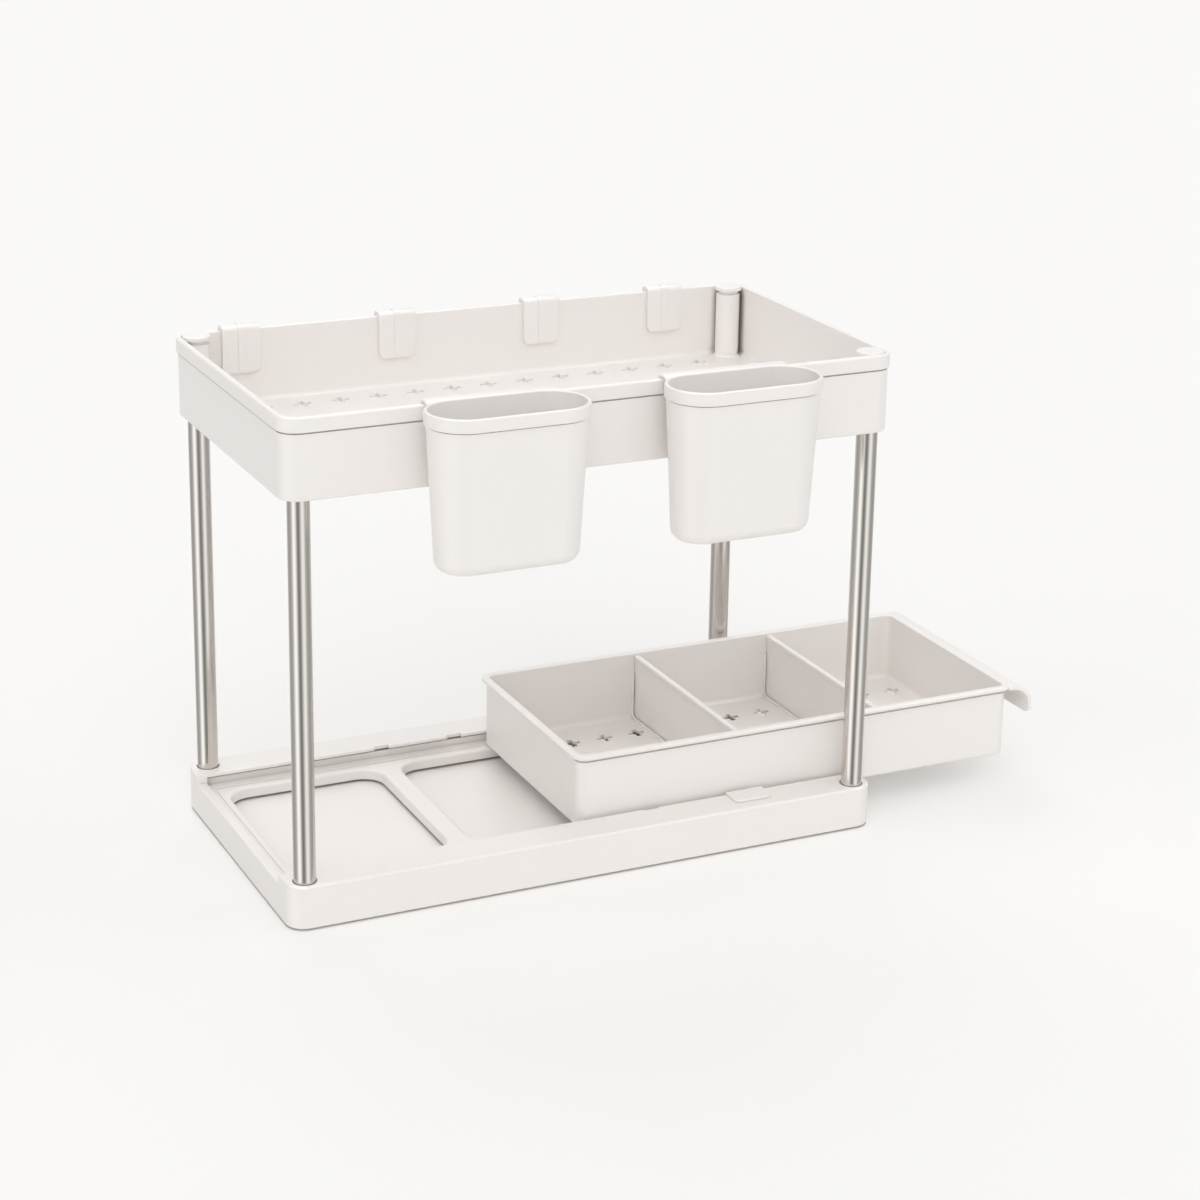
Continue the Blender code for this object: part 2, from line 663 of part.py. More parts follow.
def build_hook(number, place):
    """A bent strap over the far rim, with a plate inside and a curled arm outside."""
    inner = TRAY_INNER_SIDE - SEAT_GAP - HOOK_PLATE / 2
    outer = RIM_SIDE + SEAT_GAP + HOOK_PLATE / 2
    crest = TRAY_TOP + SEAT_GAP + HOOK_PLATE / 2
    foot = TRAY_TOP - HOOK_INSIDE_DROP
    arm_end = TRAY_TOP - HOOK_OUTSIDE_DROP + HOOK_CURL
    path = bent_path([(inner, foot + HOOK_CORNER), (inner, crest), (outer, crest), (outer, arm_end)],
                     HOOK_BEND, BEND_STEPS)
    across = Vector((1, 0, 0))
    full = HOOK_WIDTH / 2
    narrow = HOOK_ARM_WIDTH / 2
    stations = []
    for step in range(CORNER_STEPS):
        angle = math.pi / 2 * (step + 1) / CORNER_STEPS
        height = foot + HOOK_CORNER * (1 - math.cos(angle))
        width = full - HOOK_CORNER * (1 - math.sin(angle))
        stations.append((height, inner, width))
    stations += [(p.y, p.x, full) for p in path[1:-1]]
    neck = crest - HOOK_NECK_START
    stations += [(neck, outer, full), (neck - HOOK_NECK_LENGTH, outer, narrow)]
    for step in range(CURL_STEPS + 1):
        angle = math.pi * step / CURL_STEPS
        stations.append((arm_end - HOOK_CURL * math.sin(angle),
                         outer + HOOK_CURL * (1 - math.cos(angle)), narrow))
    stations.append((arm_end + HOOK_TIP, outer + 2 * HOOK_CURL, narrow))
    places = [(Vector((place, y, z)), across, half) for z, y, half in stations]
    label = "rim_hook_%d" % number
    hook = add_part(label, strap(places), CREAM_PLASTIC)
    thicken(hook, HOOK_PLATE)
    line = place + HOOK_LINE_SHIFT
    face = inner - HOOK_PLATE / 2
    cut(hook, label + "_line", block((line - HOOK_LINE_WIDTH / 2, face - OVERRUN, foot - OVERRUN),
                                     (line + HOOK_LINE_WIDTH / 2, face + HOOK_LINE_DEPTH,
                                      crest - HOOK_BEND)))


def divider_lines():
    return [DRAWER_LEFT + share * DRAWER_LENGTH for share in DIVIDER_PLACE_SHARES]


def build_drawer():
    drawer = add_part("drawer", block((DRAWER_LEFT, -DRAWER_SIDE, DRAWER_BOTTOM),
                                      (DRAWER_RIGHT, DRAWER_SIDE, DRAWER_TOP - BITE),
                                      corner=DRAWER_CORNER, foot=DRAWER_FOOT_ROUND), CREAM_PLASTIC)
    proud = DRAWER_RIM_PROUD
    rim_bottom = DRAWER_TOP - DRAWER_RIM_THICKNESS
    join(drawer, "drawer_rim", block((DRAWER_LEFT - proud, -DRAWER_SIDE - proud, rim_bottom),
                                     (DRAWER_RIGHT + proud, DRAWER_SIDE + proud, DRAWER_TOP),
                                     corner=DRAWER_CORNER + proud, crown=DRAWER_RIM_EDGE))

    plate_line = DRAWER_TOP - LIP_PLATE / 2
    curl_start = DRAWER_RIGHT + LIP_FLAT
    path = [Vector((DRAWER_RIGHT, 0, plate_line))]
    for step in range(CURL_STEPS + 1):
        angle = math.pi / 2 * step / CURL_STEPS
        path.append(Vector((curl_start + LIP_CURL * math.sin(angle), 0,
                            plate_line - LIP_CURL * (1 - math.cos(angle)))))
    path.append(path[-1] - Vector((0, 0, LIP_TAIL - LIP_CORNER)))
    half = DRAWER_SIDE + proud - SEAT_GAP
    halves = [half] * len(path)
    tip = path[-1]
    for step in range(1, CORNER_STEPS + 1):
        angle = math.pi / 2 * step / CORNER_STEPS
        path.append(tip - Vector((0, 0, LIP_CORNER * math.sin(angle))))
        halves.append(half - LIP_CORNER * (1 - math.cos(angle)))
    across = Vector((0, 1, 0))
    lip = add_cutter("handle_lip", strap([(place, across, wide) for place, wide in zip(path, halves)]))
    thicken(lip, LIP_PLATE)
    combine(drawer, lip, "UNION")

    inner_left = DRAWER_LEFT + DRAWER_WALL
    inner_right = DRAWER_RIGHT - DRAWER_WALL
    cut(drawer, "drawer_space", block((inner_left, -DRAWER_INNER_SIDE, DRAWER_FLOOR_TOP),
                                      (inner_right, DRAWER_INNER_SIDE, DRAWER_TOP + OVERRUN),
                                      corner=DRAWER_CORNER - DRAWER_WALL, foot=DRAWER_FILLET))

    ribs = []
    slot = DIVIDER_PLATE / 2 + GUIDE_GAP
    for line in divider_lines():
        for start in (line - slot - GUIDE_RIB_WIDTH, line + slot):
            end = start + GUIDE_RIB_WIDTH
            ribs.append(block((start, -DRAWER_INNER_SIDE - BITE, DRAWER_FLOOR_TOP - BITE),
                              (end, DRAWER_INNER_SIDE + BITE, DRAWER_FLOOR_TOP + GUIDE_RIB_HEIGHT)))
    join(drawer, "guide_ribs", gather(ribs))
    between = DRAWER_INNER_SIDE - GUIDE_RIB_REACH
    rib_floor = DRAWER_FLOOR_TOP + GUIDE_RIB_REACH
    space = block((inner_left + DRAWER_FILLET, -between, rib_floor),
                  (inner_right - DRAWER_FILLET, between, DRAWER_TOP + OVERRUN))
    foot_edges = [e for e in level_edges(space, rib_floor) if e.verts[0].co.y == e.verts[1].co.y]
    bevel(space, foot_edges, DIVIDER_CORNER, CORNER_STEPS)
    cut(drawer, "between_ribs", space)

    tabs = []
    tab_outer = GROOVE_WALL - TAB_CLEARANCE
    tab_bottom = DRAWER_BOTTOM + TAB_LIFT
    for place in (DRAWER_LEFT + TAB_INSET, DRAWER_LEFT + TAB_INSET + TAB_PITCH):
        for sign in (-1, 1):
            edges = sorted((sign * (DRAWER_SIDE - BITE), sign * tab_outer))
            tabs.append(block((place - TAB_LENGTH / 2, edges[0], tab_bottom),
                              (place + TAB_LENGTH / 2, edges[1], tab_bottom + TAB_THICKNESS)))
    join(drawer, "side_tabs", gather(tabs))

    keep_clear = DIVIDER_PLATE / 2 + GUIDE_GAP + GUIDE_RIB_WIDTH + DRAIN_SPAN / 2 + GUIDE_DRAIN_MARGIN
    columns = []
    pitch = DRAWER_DRAIN_PITCH_SHARE * DRAWER_LENGTH
    for share in DRAWER_DRAIN_GROUP_SHARES:
        columns += spread(DRAWER_DRAIN_COLUMNS, pitch, DRAWER_LEFT + share * DRAWER_LENGTH)
    columns = [x for x in columns if all(abs(x - line) > keep_clear for line in divider_lines())]
    rows = spread(DRAWER_DRAIN_ROWS, DRAWER_DRAIN_ROW_PITCH)
    cut(drawer, "drawer_drains", plus_holes(grid_places(columns, rows), DRAWER_BOTTOM - OVERRUN,
                                            DRAWER_FLOOR_TOP + OVERRUN))


def build_divider(number, line):
    """A loose plate with a thicker bead along its top, standing in the drawer's guides."""
    end = DRAWER_INNER_SIDE - SEAT_GAP
    bottom = DRAWER_FLOOR_TOP + SEAT_GAP
    top = DRAWER_TOP - DIVIDER_TOP_DROP
    label = "drawer_divider_%d" % number
    shape = block((line - DIVIDER_PLATE / 2, -end, bottom), (line + DIVIDER_PLATE / 2, end, top - BITE))
    low_corners = [e for e in level_edges(shape, bottom) if abs(e.verts[0].co.x - e.verts[1].co.x) > 0]
    bevel(shape, low_corners, DIVIDER_CORNER, CORNER_STEPS)
    divider = add_part(label, shape, CREAM_PLASTIC)
    join(divider, label + "_bead", block((line - DIVIDER_BEAD / 2, -end + BITE,
                                          top - DIVIDER_BEAD_HEIGHT),
                                         (line + DIVIDER_BEAD / 2, end - BITE, top),
                                         crown=DRAWER_RIM_EDGE))


def build_badge():
    """A blank tab on the near rail, with a tongue down the lip's inner edge."""
    place = BADGE_PLACE_SHARE * BASE_LENGTH
    inner = -RAIL_EDGE + SEAT_GAP + BADGE_TONGUE
    bottom = RAIL_HEIGHT + SEAT_GAP
    half = BADGE_LENGTH / 2
    shape = block((place - half, inner - BADGE_REACH, bottom),
                  (place + half, inner, bottom + BADGE_PLATE))
    near_corners = [e for e in upright_edges(shape) if e.verts[0].co.y < inner - BADGE_REACH / 2]
    bevel(shape, near_corners, BADGE_CORNER, CORNER_STEPS)
    badge = add_part("blank_badge", shape, CREAM_PLASTIC)
    tongue_end = half - BITE
    join(badge, "badge_tongue", block((place - tongue_end, inner - BADGE_TONGUE,
                                       bottom - BADGE_TONGUE_DROP),
                                      (place + tongue_end, inner - BITE / 2,
                                       bottom + BADGE_PLATE / 2)))


build_base()
build_poles()
build_tray()
build_caps()
for cup_number, cup_share in enumerate(CUP_PLACE_SHARES, 1):
    build_cup(cup_number, cup_share * BASE_LENGTH)
for hook_number, hook_share in enumerate(HOOK_PLACE_SHARES, 1):
    build_hook(hook_number, hook_share * BASE_LENGTH)
build_drawer()
for divider_number, divider_line in enumerate(divider_lines(), 1):
    build_divider(divider_number, divider_line)
build_badge()
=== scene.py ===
import math

import bmesh
import bpy
from mathutils import Matrix, Vector


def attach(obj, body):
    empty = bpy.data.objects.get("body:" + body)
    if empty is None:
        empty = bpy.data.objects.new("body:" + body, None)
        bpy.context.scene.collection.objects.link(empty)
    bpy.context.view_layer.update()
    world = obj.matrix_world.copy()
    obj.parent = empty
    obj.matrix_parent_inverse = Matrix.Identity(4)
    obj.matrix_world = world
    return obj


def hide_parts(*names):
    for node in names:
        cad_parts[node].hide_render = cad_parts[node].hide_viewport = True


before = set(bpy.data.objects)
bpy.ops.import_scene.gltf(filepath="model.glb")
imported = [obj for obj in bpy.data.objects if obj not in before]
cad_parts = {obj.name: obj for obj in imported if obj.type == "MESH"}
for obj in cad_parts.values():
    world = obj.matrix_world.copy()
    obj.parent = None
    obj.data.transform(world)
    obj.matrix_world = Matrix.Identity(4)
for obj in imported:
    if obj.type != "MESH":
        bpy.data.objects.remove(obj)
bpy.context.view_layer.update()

# The base is one injection-moulded piece of satin cream plastic. Two rails run along a deck
# with three shallow wells, and each corner has a socket that a steel pole is pressed into.
# Shapes are drawn in millimetres here, and to_metres is the last step of each mesh.
BASE_LONG, BASE_WIDE, BASE_HIGH = 390, 206, 28
BASE_CORNER, BASE_EDGE, BASE_SKIN = 12, 1.7, 2.5
CUT_TOP, CUT_END = 40, 220
FOOT_LIP, FOOT_GROOVE, FOOT_GROOVE_TOP = 0.5, 1.3, 1.7
DECK_LEVEL = 20
SILL_LEVEL, SILL_INSIDE = 22.4, -188.4
RAIL_INSIDE, CHANNEL_EDGE = 78.5, 1.0
LIP_UNDERSIDE = 26
GROOVE_SIDE, GROOVE_END = 81.5, 190
SLOT_SIDE, SLOT_LEVEL = 83.5, 24.2
WELL_SIDE, WELL_CORNER, WELL_FLOOR = 66, 15, 12.2
WELL_MOUTH, WELL_GAP_HIGH, WELL_GAP_DEEP = 1.6, 1.3, 2.5
RAIL_HOLLOW_END, RAIL_HOLLOW_SIDE, RAIL_HOLLOW_LOW = 173, 100.5, 10
WELLS = ((-180.4, -78.6), (-65.2, 65.2), (78.6, 180.4))
FIELD_LONG, FIELD_WIDE, FIELD_CORNER = 185.5, 72, 4
LINE_WIDE, LINE_DEEP = 0.7, 0.3
FAR_NOTCHES, NEAR_NOTCHES = (-70.2, -19.1), (48.0,)
NOTCH_HALF, NOTCH_DEEP = 5, 2.2
RIB_HALF = 1.5
SKIRT_STEP, SKIRT_STEP_LOW, SKIRT_STEP_HIGH = 1.6, 2, 3
POLE_SPOTS = ((-183.2, -93), (-183.2, 93), (183.2, -93), (183.2, 93))
POLE_RADIUS = 6.6
BOSS_WALL, BOSS_LOW, SOCKET_LOW = 2.9, 3, 4
PRESS_GAP, MOUTH_GAP, MOUTH_DEEP = 0.3, 0.8, 3
CORNER_STEPS, SHARP_ANGLE = 12, 40


def level_ring(shape, long, wide, corner, height, middle=(0, 0)):
    """A level loop with rounded corners, as a list of its edges."""
    ring = bmesh.ops.create_circle(shape, segments=4 * CORNER_STEPS, radius=1)["verts"]
    for index, vert in enumerate(ring):
        quarter, step = divmod(index, CORNER_STEPS)
        angle = math.pi / 2 * (quarter + (step + 0.5) / CORNER_STEPS)
        x = (long / 2 - corner) * (1 if quarter in (0, 3) else -1)
        y = (wide / 2 - corner) * (1 if quarter < 2 else -1)
        vert.co = (middle[0] + x + corner * math.cos(angle),
                   middle[1] + y + corner * math.sin(angle), height)
    return list({edge for vert in ring for edge in vert.link_edges})


def arc(inset, height, radius, start, end, steps=4):
    """Points of a profile round a centre, between two angles in degrees."""
    angles = [math.radians(start + (end - start) * step / steps) for step in range(steps + 1)]
    return [(inset + radius * math.cos(a), height + radius * math.sin(a)) for a in angles]


def moulding(long, wide, corner, profile, middle=(0, 0)):
    """A closed body that carries a profile of (inset, height) all round its outline."""
    shape = bmesh.new()
    loops = [level_ring(shape, long - 2 * inset, wide - 2 * inset, corner - inset, height, middle)
             for inset, height in profile]
    for lower, upper in zip(loops, loops[1:]):
        bmesh.ops.bridge_loops(shape, edges=lower + upper)
    for loop in (loops[0], loops[-1]):
        bmesh.ops.contextual_create(shape, geom=loop)
    bmesh.ops.recalc_face_normals(shape, faces=shape.faces)
    return shape


def rod(spot, radius, bottom, top):
    """An upright round bar."""
    return moulding(2 * radius, 2 * radius, radius, [(0, bottom), (0, top)], spot)


def round_edges(shape, edges, radius, steps=3):
    """Round some edges of a shape."""
    bmesh.ops.bevel(shape, geom=edges, offset=radius, offset_type="OFFSET", segments=steps,
                    profile=0.5, affect="EDGES", material=-1, clamp_overlap=True)


def block(low, high, edge=0.0):
    """A block between two corners, with all its edges rounded if asked."""
    shape = bmesh.new()
    bmesh.ops.create_cube(shape, size=1)
    low, high = Vector(low), Vector(high)
    bmesh.ops.scale(shape, vec=high - low, verts=shape.verts)
    bmesh.ops.translate(shape, vec=(low + high) / 2, verts=shape.verts)
    if edge:
        round_edges(shape, shape.edges[:], edge)
    return shape


def gather(shapes):
    """Several separate shapes in one bmesh."""
    whole = bmesh.new()
    for shape in shapes:
        copy = bpy.data.meshes.new("copy")
        shape.to_mesh(copy)
        shape.free()
        whole.from_mesh(copy)
        bpy.data.meshes.remove(copy)
    return whole


def carve(shape, tool, operation="DIFFERENCE"):
    """Cut a closed tool out of a shape, or weld it on, and give back the result."""
    items = []
    for part in (shape, tool):
        mesh = bpy.data.meshes.new("workpiece")
        part.to_mesh(mesh)
        part.free()
        items.append(bpy.data.objects.new("workpiece", mesh))
        bpy.context.scene.collection.objects.link(items[-1])
    modifier = items[0].modifiers.new("carve", "BOOLEAN")
    modifier.operation = operation
    modifier.solver = "EXACT"
    modifier.object = items[1]
    bpy.context.view_layer.update()
    result = bmesh.new()
    result.from_object(items[0], bpy.context.evaluated_depsgraph_get())
    for item in items:
        bpy.data.meshes.remove(item.data)
    return result


def to_metres(name, shape, finish):
    """Make a shape, drawn in millimetres, a smooth-shaded piece in metres."""
    bmesh.ops.scale(shape, vec=(0.001, 0.001, 0.001), verts=shape.verts)
    mesh = bpy.data.meshes.new(name)
    shape.to_mesh(mesh)
    shape.free()
    mesh.materials.append(finish)
    mesh.shade_smooth()
    mesh.set_sharp_from_angle(angle=math.radians(SHARP_ANGLE))
    piece = bpy.data.objects.new(name, mesh)
    bpy.context.scene.collection.objects.link(piece)
    return piece


def even_shading(piece):
    """Large flat faces keep their own direction, so only the rounded edges turn the light."""
    modifier = piece.modifiers.new("even_shading", "WEIGHTED_NORMAL")
    modifier.keep_sharp = True
    modifier.weight = 80


class Value:
    """A socket in a finish, with plain arithmetic."""

    def __init__(self, finish, socket):
        self.finish = finish
        self.socket = socket

    def maths(self, operation, first, second):
        return self.finish.node("ShaderNodeMath", {"operation": operation}, {0: first, 1: second})

    def __add__(self, other):
        return self.maths("ADD", self, other)

    def __sub__(self, other):
        return self.maths("SUBTRACT", self, other)

    def __rsub__(self, other):
        return self.maths("SUBTRACT", other, self)

    def __mul__(self, other):
        return self.maths("MULTIPLY", self, other)

    __radd__ = __add__
    __rmul__ = __mul__


class Finish:
    """The nodes of a material, or of the room's light, which all come from one method."""

    def __init__(self, owner):
        owner.use_nodes = True
        self.owner = owner
        self.tree = owner.node_tree
        self.tree.nodes.clear()

    def node(self, kind, settings=(), sockets=(), output=0):
        """Add a node with its settings and its sockets' constants or links."""
        made = self.tree.nodes.new(kind)
        for key, value in dict(settings).items():
            if key == "stops":
                ramp = made.color_ramp.elements
                for index, (place, shade) in enumerate(value):
                    element = ramp[index] if index < len(ramp) else ramp.new(place)
                    element.position = place
                    element.color = (shade, shade, shade, 1)
            else:
                setattr(made, key, value)
        for key, value in dict(sockets).items():
            if isinstance(value, Value):
                self.tree.links.new(value.socket, made.inputs[key])
            else:
                made.inputs[key].default_value = value
        return Value(self, made.outputs[output]) if made.outputs else made

    def place(self, scale=(1, 1, 1)):
        """Object coordinates, stretched if asked."""
        here = self.node("ShaderNodeTexCoord", output="Object")
        return self.node("ShaderNodeMapping", {"vector_type": "POINT"},
                         {"Vector": here, "Scale": scale})

    def noise(self, place, scale, detail, roughness=0.5):
        """Soft noise between 0 and 1."""
        return self.node("ShaderNodeTexNoise", {}, {"Vector": place, "Scale": scale,
                                                    "Detail": detail, "Roughness": roughness})

    def between(self, share, first, second):
        """A colour between two others."""
        return self.node("ShaderNodeMix", {"data_type": "RGBA"}, {0: share, 6: first, 7: second}, 2)

    def surface(self, **sockets):
        """Finish the material with one shader, whose sockets are given by name."""
        named = {key.replace("_", " "): value for key, value in sockets.items()}
        shader = self.node("ShaderNodeBsdfPrincipled", {}, named)
        self.node("ShaderNodeOutputMaterial", {}, {"Surface": shader})
        return self.owner


# Painted shade: each plastic's colour darkens towards a brown shade tone in its own crevices,
# grooves and holes.
PAINTED_SHADE_REACH, PAINTED_SHADE_SHARE, PAINTED_SHADE_TONE = 0.0055, 0.78, (0.40, 0.35, 0.31, 1)
PAINTED_SHADE_CLOSED, PAINTED_SHADE_OPEN = 0.25, 0.7
DRIFT_SCALE, FLECK_SCALE, GRAIN_SCALE = 11, 420, 2300
GRAIN_HIGH, GRAIN_STRENGTH = 0.0001, 0.16
PLASTIC_ROUGHNESS = 0.38
PALE_CREAM = (0.870, 0.839, 0.817), (0.858, 0.826, 0.802)


def moulded_plastic(name, light, dark):
    """Satin plastic: fine spark-eroded grain, slight tone drift, uneven gloss, and shade painted
    darker into its own crevices.
    """
    finish = Finish(bpy.data.materials.new(name))
    here = finish.place()
    drift = finish.noise(here, DRIFT_SCALE, 3)
    flecks = finish.noise(here, FLECK_SCALE, 3, 0.6)
    grain = finish.noise(here, GRAIN_SCALE, 2, 0.6)
    tone = finish.between(drift * 0.7 + flecks * 0.3, (*dark, 1), (*light, 1))
    # Painted shade: where the piece's own occlusion within a few millimetres is high, the colour is
    # darkened towards the shade tone.
    occlusion_openness = finish.node("ShaderNodeAmbientOcclusion", {"samples": 8, "only_local": True},
                             {"Distance": PAINTED_SHADE_REACH}, "AO")
    painted_shade_mask = finish.node("ShaderNodeMapRange", {},
                               {"Value": occlusion_openness, "From Min": PAINTED_SHADE_CLOSED,
                                "From Max": PAINTED_SHADE_OPEN, "To Min": PAINTED_SHADE_SHARE, "To Max": 0.0})
    tone = finish.between(painted_shade_mask, tone, PAINTED_SHADE_TONE)
    gloss = PLASTIC_ROUGHNESS - drift * 0.06 + flecks * 0.05
    bump = finish.node("ShaderNodeBump", {},
                       {"Strength": GRAIN_STRENGTH, "Distance": GRAIN_HIGH, "Height": grain})
    return finish.surface(Base_Color=tone, Roughness=gloss, Normal=bump)


BASE_PLASTIC = moulded_plastic("base_plastic", *PALE_CREAM)

# The body, with the drawer's channel cut out of it from the sill on to the open right end
base = moulding(BASE_LONG, BASE_WIDE, BASE_CORNER,
                [(0.3, 0), (0, 0.3), (0, FOOT_LIP), (FOOT_GROOVE, FOOT_LIP + 0.2),
                 (FOOT_GROOVE, FOOT_GROOVE_TOP - 0.1)]
                + arc(0.3, FOOT_GROOVE_TOP + 0.3, 0.3, 270, 180, 2)
                + arc(BASE_EDGE, BASE_HIGH - BASE_EDGE, BASE_EDGE, 180, 90, 6))
base = carve(base, block((SILL_INSIDE, -RAIL_INSIDE, DECK_LEVEL),
                         (CUT_END, RAIL_INSIDE, CUT_TOP)))
base = carve(base, block((-CUT_END, -RAIL_INSIDE, SILL_LEVEL),
                         (SILL_INSIDE + 1, RAIL_INSIDE, CUT_TOP)))
channel_edges = []
for edge in base.edges:
    start, end = edge.verts[0].co, edge.verts[1].co
    inside = all(abs(p.y) < RAIL_INSIDE + 0.01 and p.z > DECK_LEVEL - 0.01 for p in (start, end))
    if inside and len(edge.link_faces) == 2 and edge.is_convex and edge.calc_face_angle() > 0.7:
        channel_edges.append(edge)
round_edges(base, channel_edges, CHANNEL_EDGE, 4)

# Grooves for the drawer's tabs, with a deeper slot under each rail's lip
base = carve(base, block((SILL_INSIDE, -GROOVE_SIDE, DECK_LEVEL + 0.01),
                         (GROOVE_END, GROOVE_SIDE, LIP_UNDERSIDE)))
base = carve(base, block((SILL_INSIDE + 1, -SLOT_SIDE, SLOT_LEVEL),
                         (GROOVE_END - 1, SLOT_SIDE, LIP_UNDERSIDE - 0.1)))

# The hollow underneath, the block in it that holds the wells, and the hollows inside the rails
base = carve(base, moulding(BASE_LONG - 2 * BASE_SKIN, BASE_WIDE - 2 * BASE_SKIN,
                            BASE_CORNER - BASE_SKIN,
                            [(SKIRT_STEP, -5), (SKIRT_STEP, SKIRT_STEP_LOW),
                             (0, SKIRT_STEP_HIGH), (0, DECK_LEVEL - BASE_SKIN)]))
well_block_side = WELL_SIDE + WELL_GAP_DEEP + BASE_SKIN
base = carve(base, block((-BASE_LONG / 2 + 2, -well_block_side, WELL_FLOOR - BASE_SKIN),
                         (BASE_LONG / 2 - 2, well_block_side, DECK_LEVEL - BASE_SKIN + 0.5)),
             "UNION")
rail_hollows = [block((-RAIL_HOLLOW_END, low, RAIL_HOLLOW_LOW),
                      (RAIL_HOLLOW_END, high, BASE_HIGH - BASE_SKIN))
                for low, high in ((-RAIL_HOLLOW_SIDE, -SLOT_SIDE - BASE_SKIN),
                                  (SLOT_SIDE + BASE_SKIN, RAIL_HOLLOW_SIDE))]
base = carve(base, gather(rail_hollows))

# Wells with a rounded mouth and a thin gap round the floor
well_profile = ([(-WELL_GAP_DEEP, WELL_FLOOR), (-WELL_GAP_DEEP, WELL_FLOOR + WELL_GAP_HIGH),
                 (0, WELL_FLOOR + WELL_GAP_HIGH)]
                + [(-WELL_MOUTH * (1 - math.cos(a)), DECK_LEVEL - WELL_MOUTH * (1 - math.sin(a)))
                   for a in [math.pi / 12 * step for step in range(7)]]
                + [(-WELL_MOUTH, DECK_LEVEL + 3)])
for low, high in WELLS:
    base = carve(base, moulding(high - low, 2 * WELL_SIDE, WELL_CORNER, well_profile,
                                ((low + high) / 2, 0)))

# Bosses and sockets for the poles, with a wider mouth that shows as a dark ring
base = carve(base, gather([rod(spot, POLE_RADIUS + BOSS_WALL, BOSS_LOW, BASE_HIGH - 1)
                           for spot in POLE_SPOTS]), "UNION")
base = carve(base, gather([rod(spot, POLE_RADIUS + PRESS_GAP, SOCKET_LOW, CUT_TOP)
                           for spot in POLE_SPOTS]))
base = carve(base, gather([rod(spot, POLE_RADIUS + MOUTH_GAP, BASE_HIGH - MOUTH_DEEP, CUT_TOP)
                           for spot in POLE_SPOTS]))

# Notches in the rails' lips, a fine line round the deck's field, and the rib under its middle
notches = [block((x - NOTCH_HALF, RAIL_INSIDE - 2, LIP_UNDERSIDE - 1),
                 (x + NOTCH_HALF, RAIL_INSIDE + NOTCH_DEEP, CUT_TOP)) for x in FAR_NOTCHES]
notches += [block((x - NOTCH_HALF, -RAIL_INSIDE - NOTCH_DEEP, LIP_UNDERSIDE - 1),
                  (x + NOTCH_HALF, -RAIL_INSIDE + 2, CUT_TOP)) for x in NEAR_NOTCHES]
base = carve(base, gather(notches))
field = [moulding(2 * FIELD_LONG + grow, 2 * FIELD_WIDE + grow, FIELD_CORNER,
                  [(0, DECK_LEVEL - LINE_DEEP), (0, DECK_LEVEL + 2)])
         for grow in (LINE_WIDE, -LINE_WIDE)]
base = carve(base, carve(*field))
base = carve(base, block((-RIB_HALF, -well_block_side, 0),
                         (RIB_HALF, well_block_side, WELL_FLOOR - 1)), "UNION")

base_piece = to_metres("moulded_base", base, BASE_PLASTIC)
even_shading(base_piece)
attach(base_piece, "stand")
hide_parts("base_frame")


# Four tubes of brushed stainless steel, 13 mm across with a wall under a millimetre. Each is
# pressed into a socket of the base and into a corner post of the tray.
POLE_WALL, POLE_FOOT = 0.8, 4.3
BORE_LOW, BORE_DEEP = 8, 4
POLE_TOPS = {"near_left": 287.2, "far_left": 295.5, "near_right": 295.5, "far_right": 295.5}
POLE_NAMES = ("near_left", "far_left", "near_right", "far_right")
RING_SCALES, BAND_SCALES = (60, 60, 5200), (26, 26, 5)
STEEL_ROUGHNESS, RING_STRENGTH = 0.17, 0.04
STEEL_DARK, STEEL_LIGHT = (0.62, 0.588, 0.555, 1), (0.71, 0.676, 0.640, 1)


def brushed_steel(name):
    """Steel brushed round the tube: fine rings in the gloss, and slight tone bands."""
    finish = Finish(bpy.data.materials.new(name))
    rings = finish.noise(finish.place(RING_SCALES), 1, 3, 0.6)
    bands = finish.noise(finish.place(BAND_SCALES), 1, 2)
    tone = finish.between(rings * 0.6 + bands * 0.4, STEEL_DARK, STEEL_LIGHT)
    gloss = STEEL_ROUGHNESS + rings * 0.08
    bump = finish.node("ShaderNodeBump", {},
                       {"Strength": RING_STRENGTH, "Distance": GRAIN_HIGH, "Height": rings})
    return finish.surface(Base_Color=tone, Roughness=gloss, Metallic=1.0, Normal=bump)


STEEL = brushed_steel("brushed_steel_tube")
for label, spot in zip(POLE_NAMES, POLE_SPOTS):
    top = POLE_TOPS[label]
    tube = moulding(2 * POLE_RADIUS, 2 * POLE_RADIUS, POLE_RADIUS,
                    [(POLE_WALL, BORE_LOW), (POLE_WALL, POLE_FOOT), (0, POLE_FOOT), (0, top),
                     (POLE_WALL, top), (POLE_WALL, top - BORE_DEEP)], spot)
    pole = to_metres("steel_pole_" + label, tube, STEEL)
    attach(pole, "stand")
    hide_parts("pole_" + label)


# The upper tray, moulded in the same plastic: a rim band stands a little proud of the wall,
# plus-shaped holes drain the floor, and a hollow post in each corner takes a pole's end.
TRAY_BOTTOM, TRAY_TOP, TRAY_FLOOR = 262, 311, 264.5
TRAY_WALL, TRAY_FOOT_EDGE, TRAY_FILLET = 3, 1.2, 3
RIM_OUTER_EDGE, RIM_INNER_EDGE = 1.7, 1.2
BAND_HIGH, BAND_PROUD, BAND_EDGE = 9.0, 1.1, 0.4
BAND_LINE_DEEP, BAND_LINE_HIGH, LINE_CHAMFER = 0.8, 0.9, 0.2
POST_RADIUS, POST_HEAD = 7.8, 13
POST_FLARE = ((-1.4, 0.2), (-0.5, 0.6), (0, 1.5))
POST_NECK, NECK_HIGH, NECK_CHAMFER = 1.5, 1.8, 0.4
POST_TOPS = {"near_left": 300.5, "far_left": 308.8, "near_right": 308.8, "far_right": 308.8}
CAP_RADIUS = 8.8
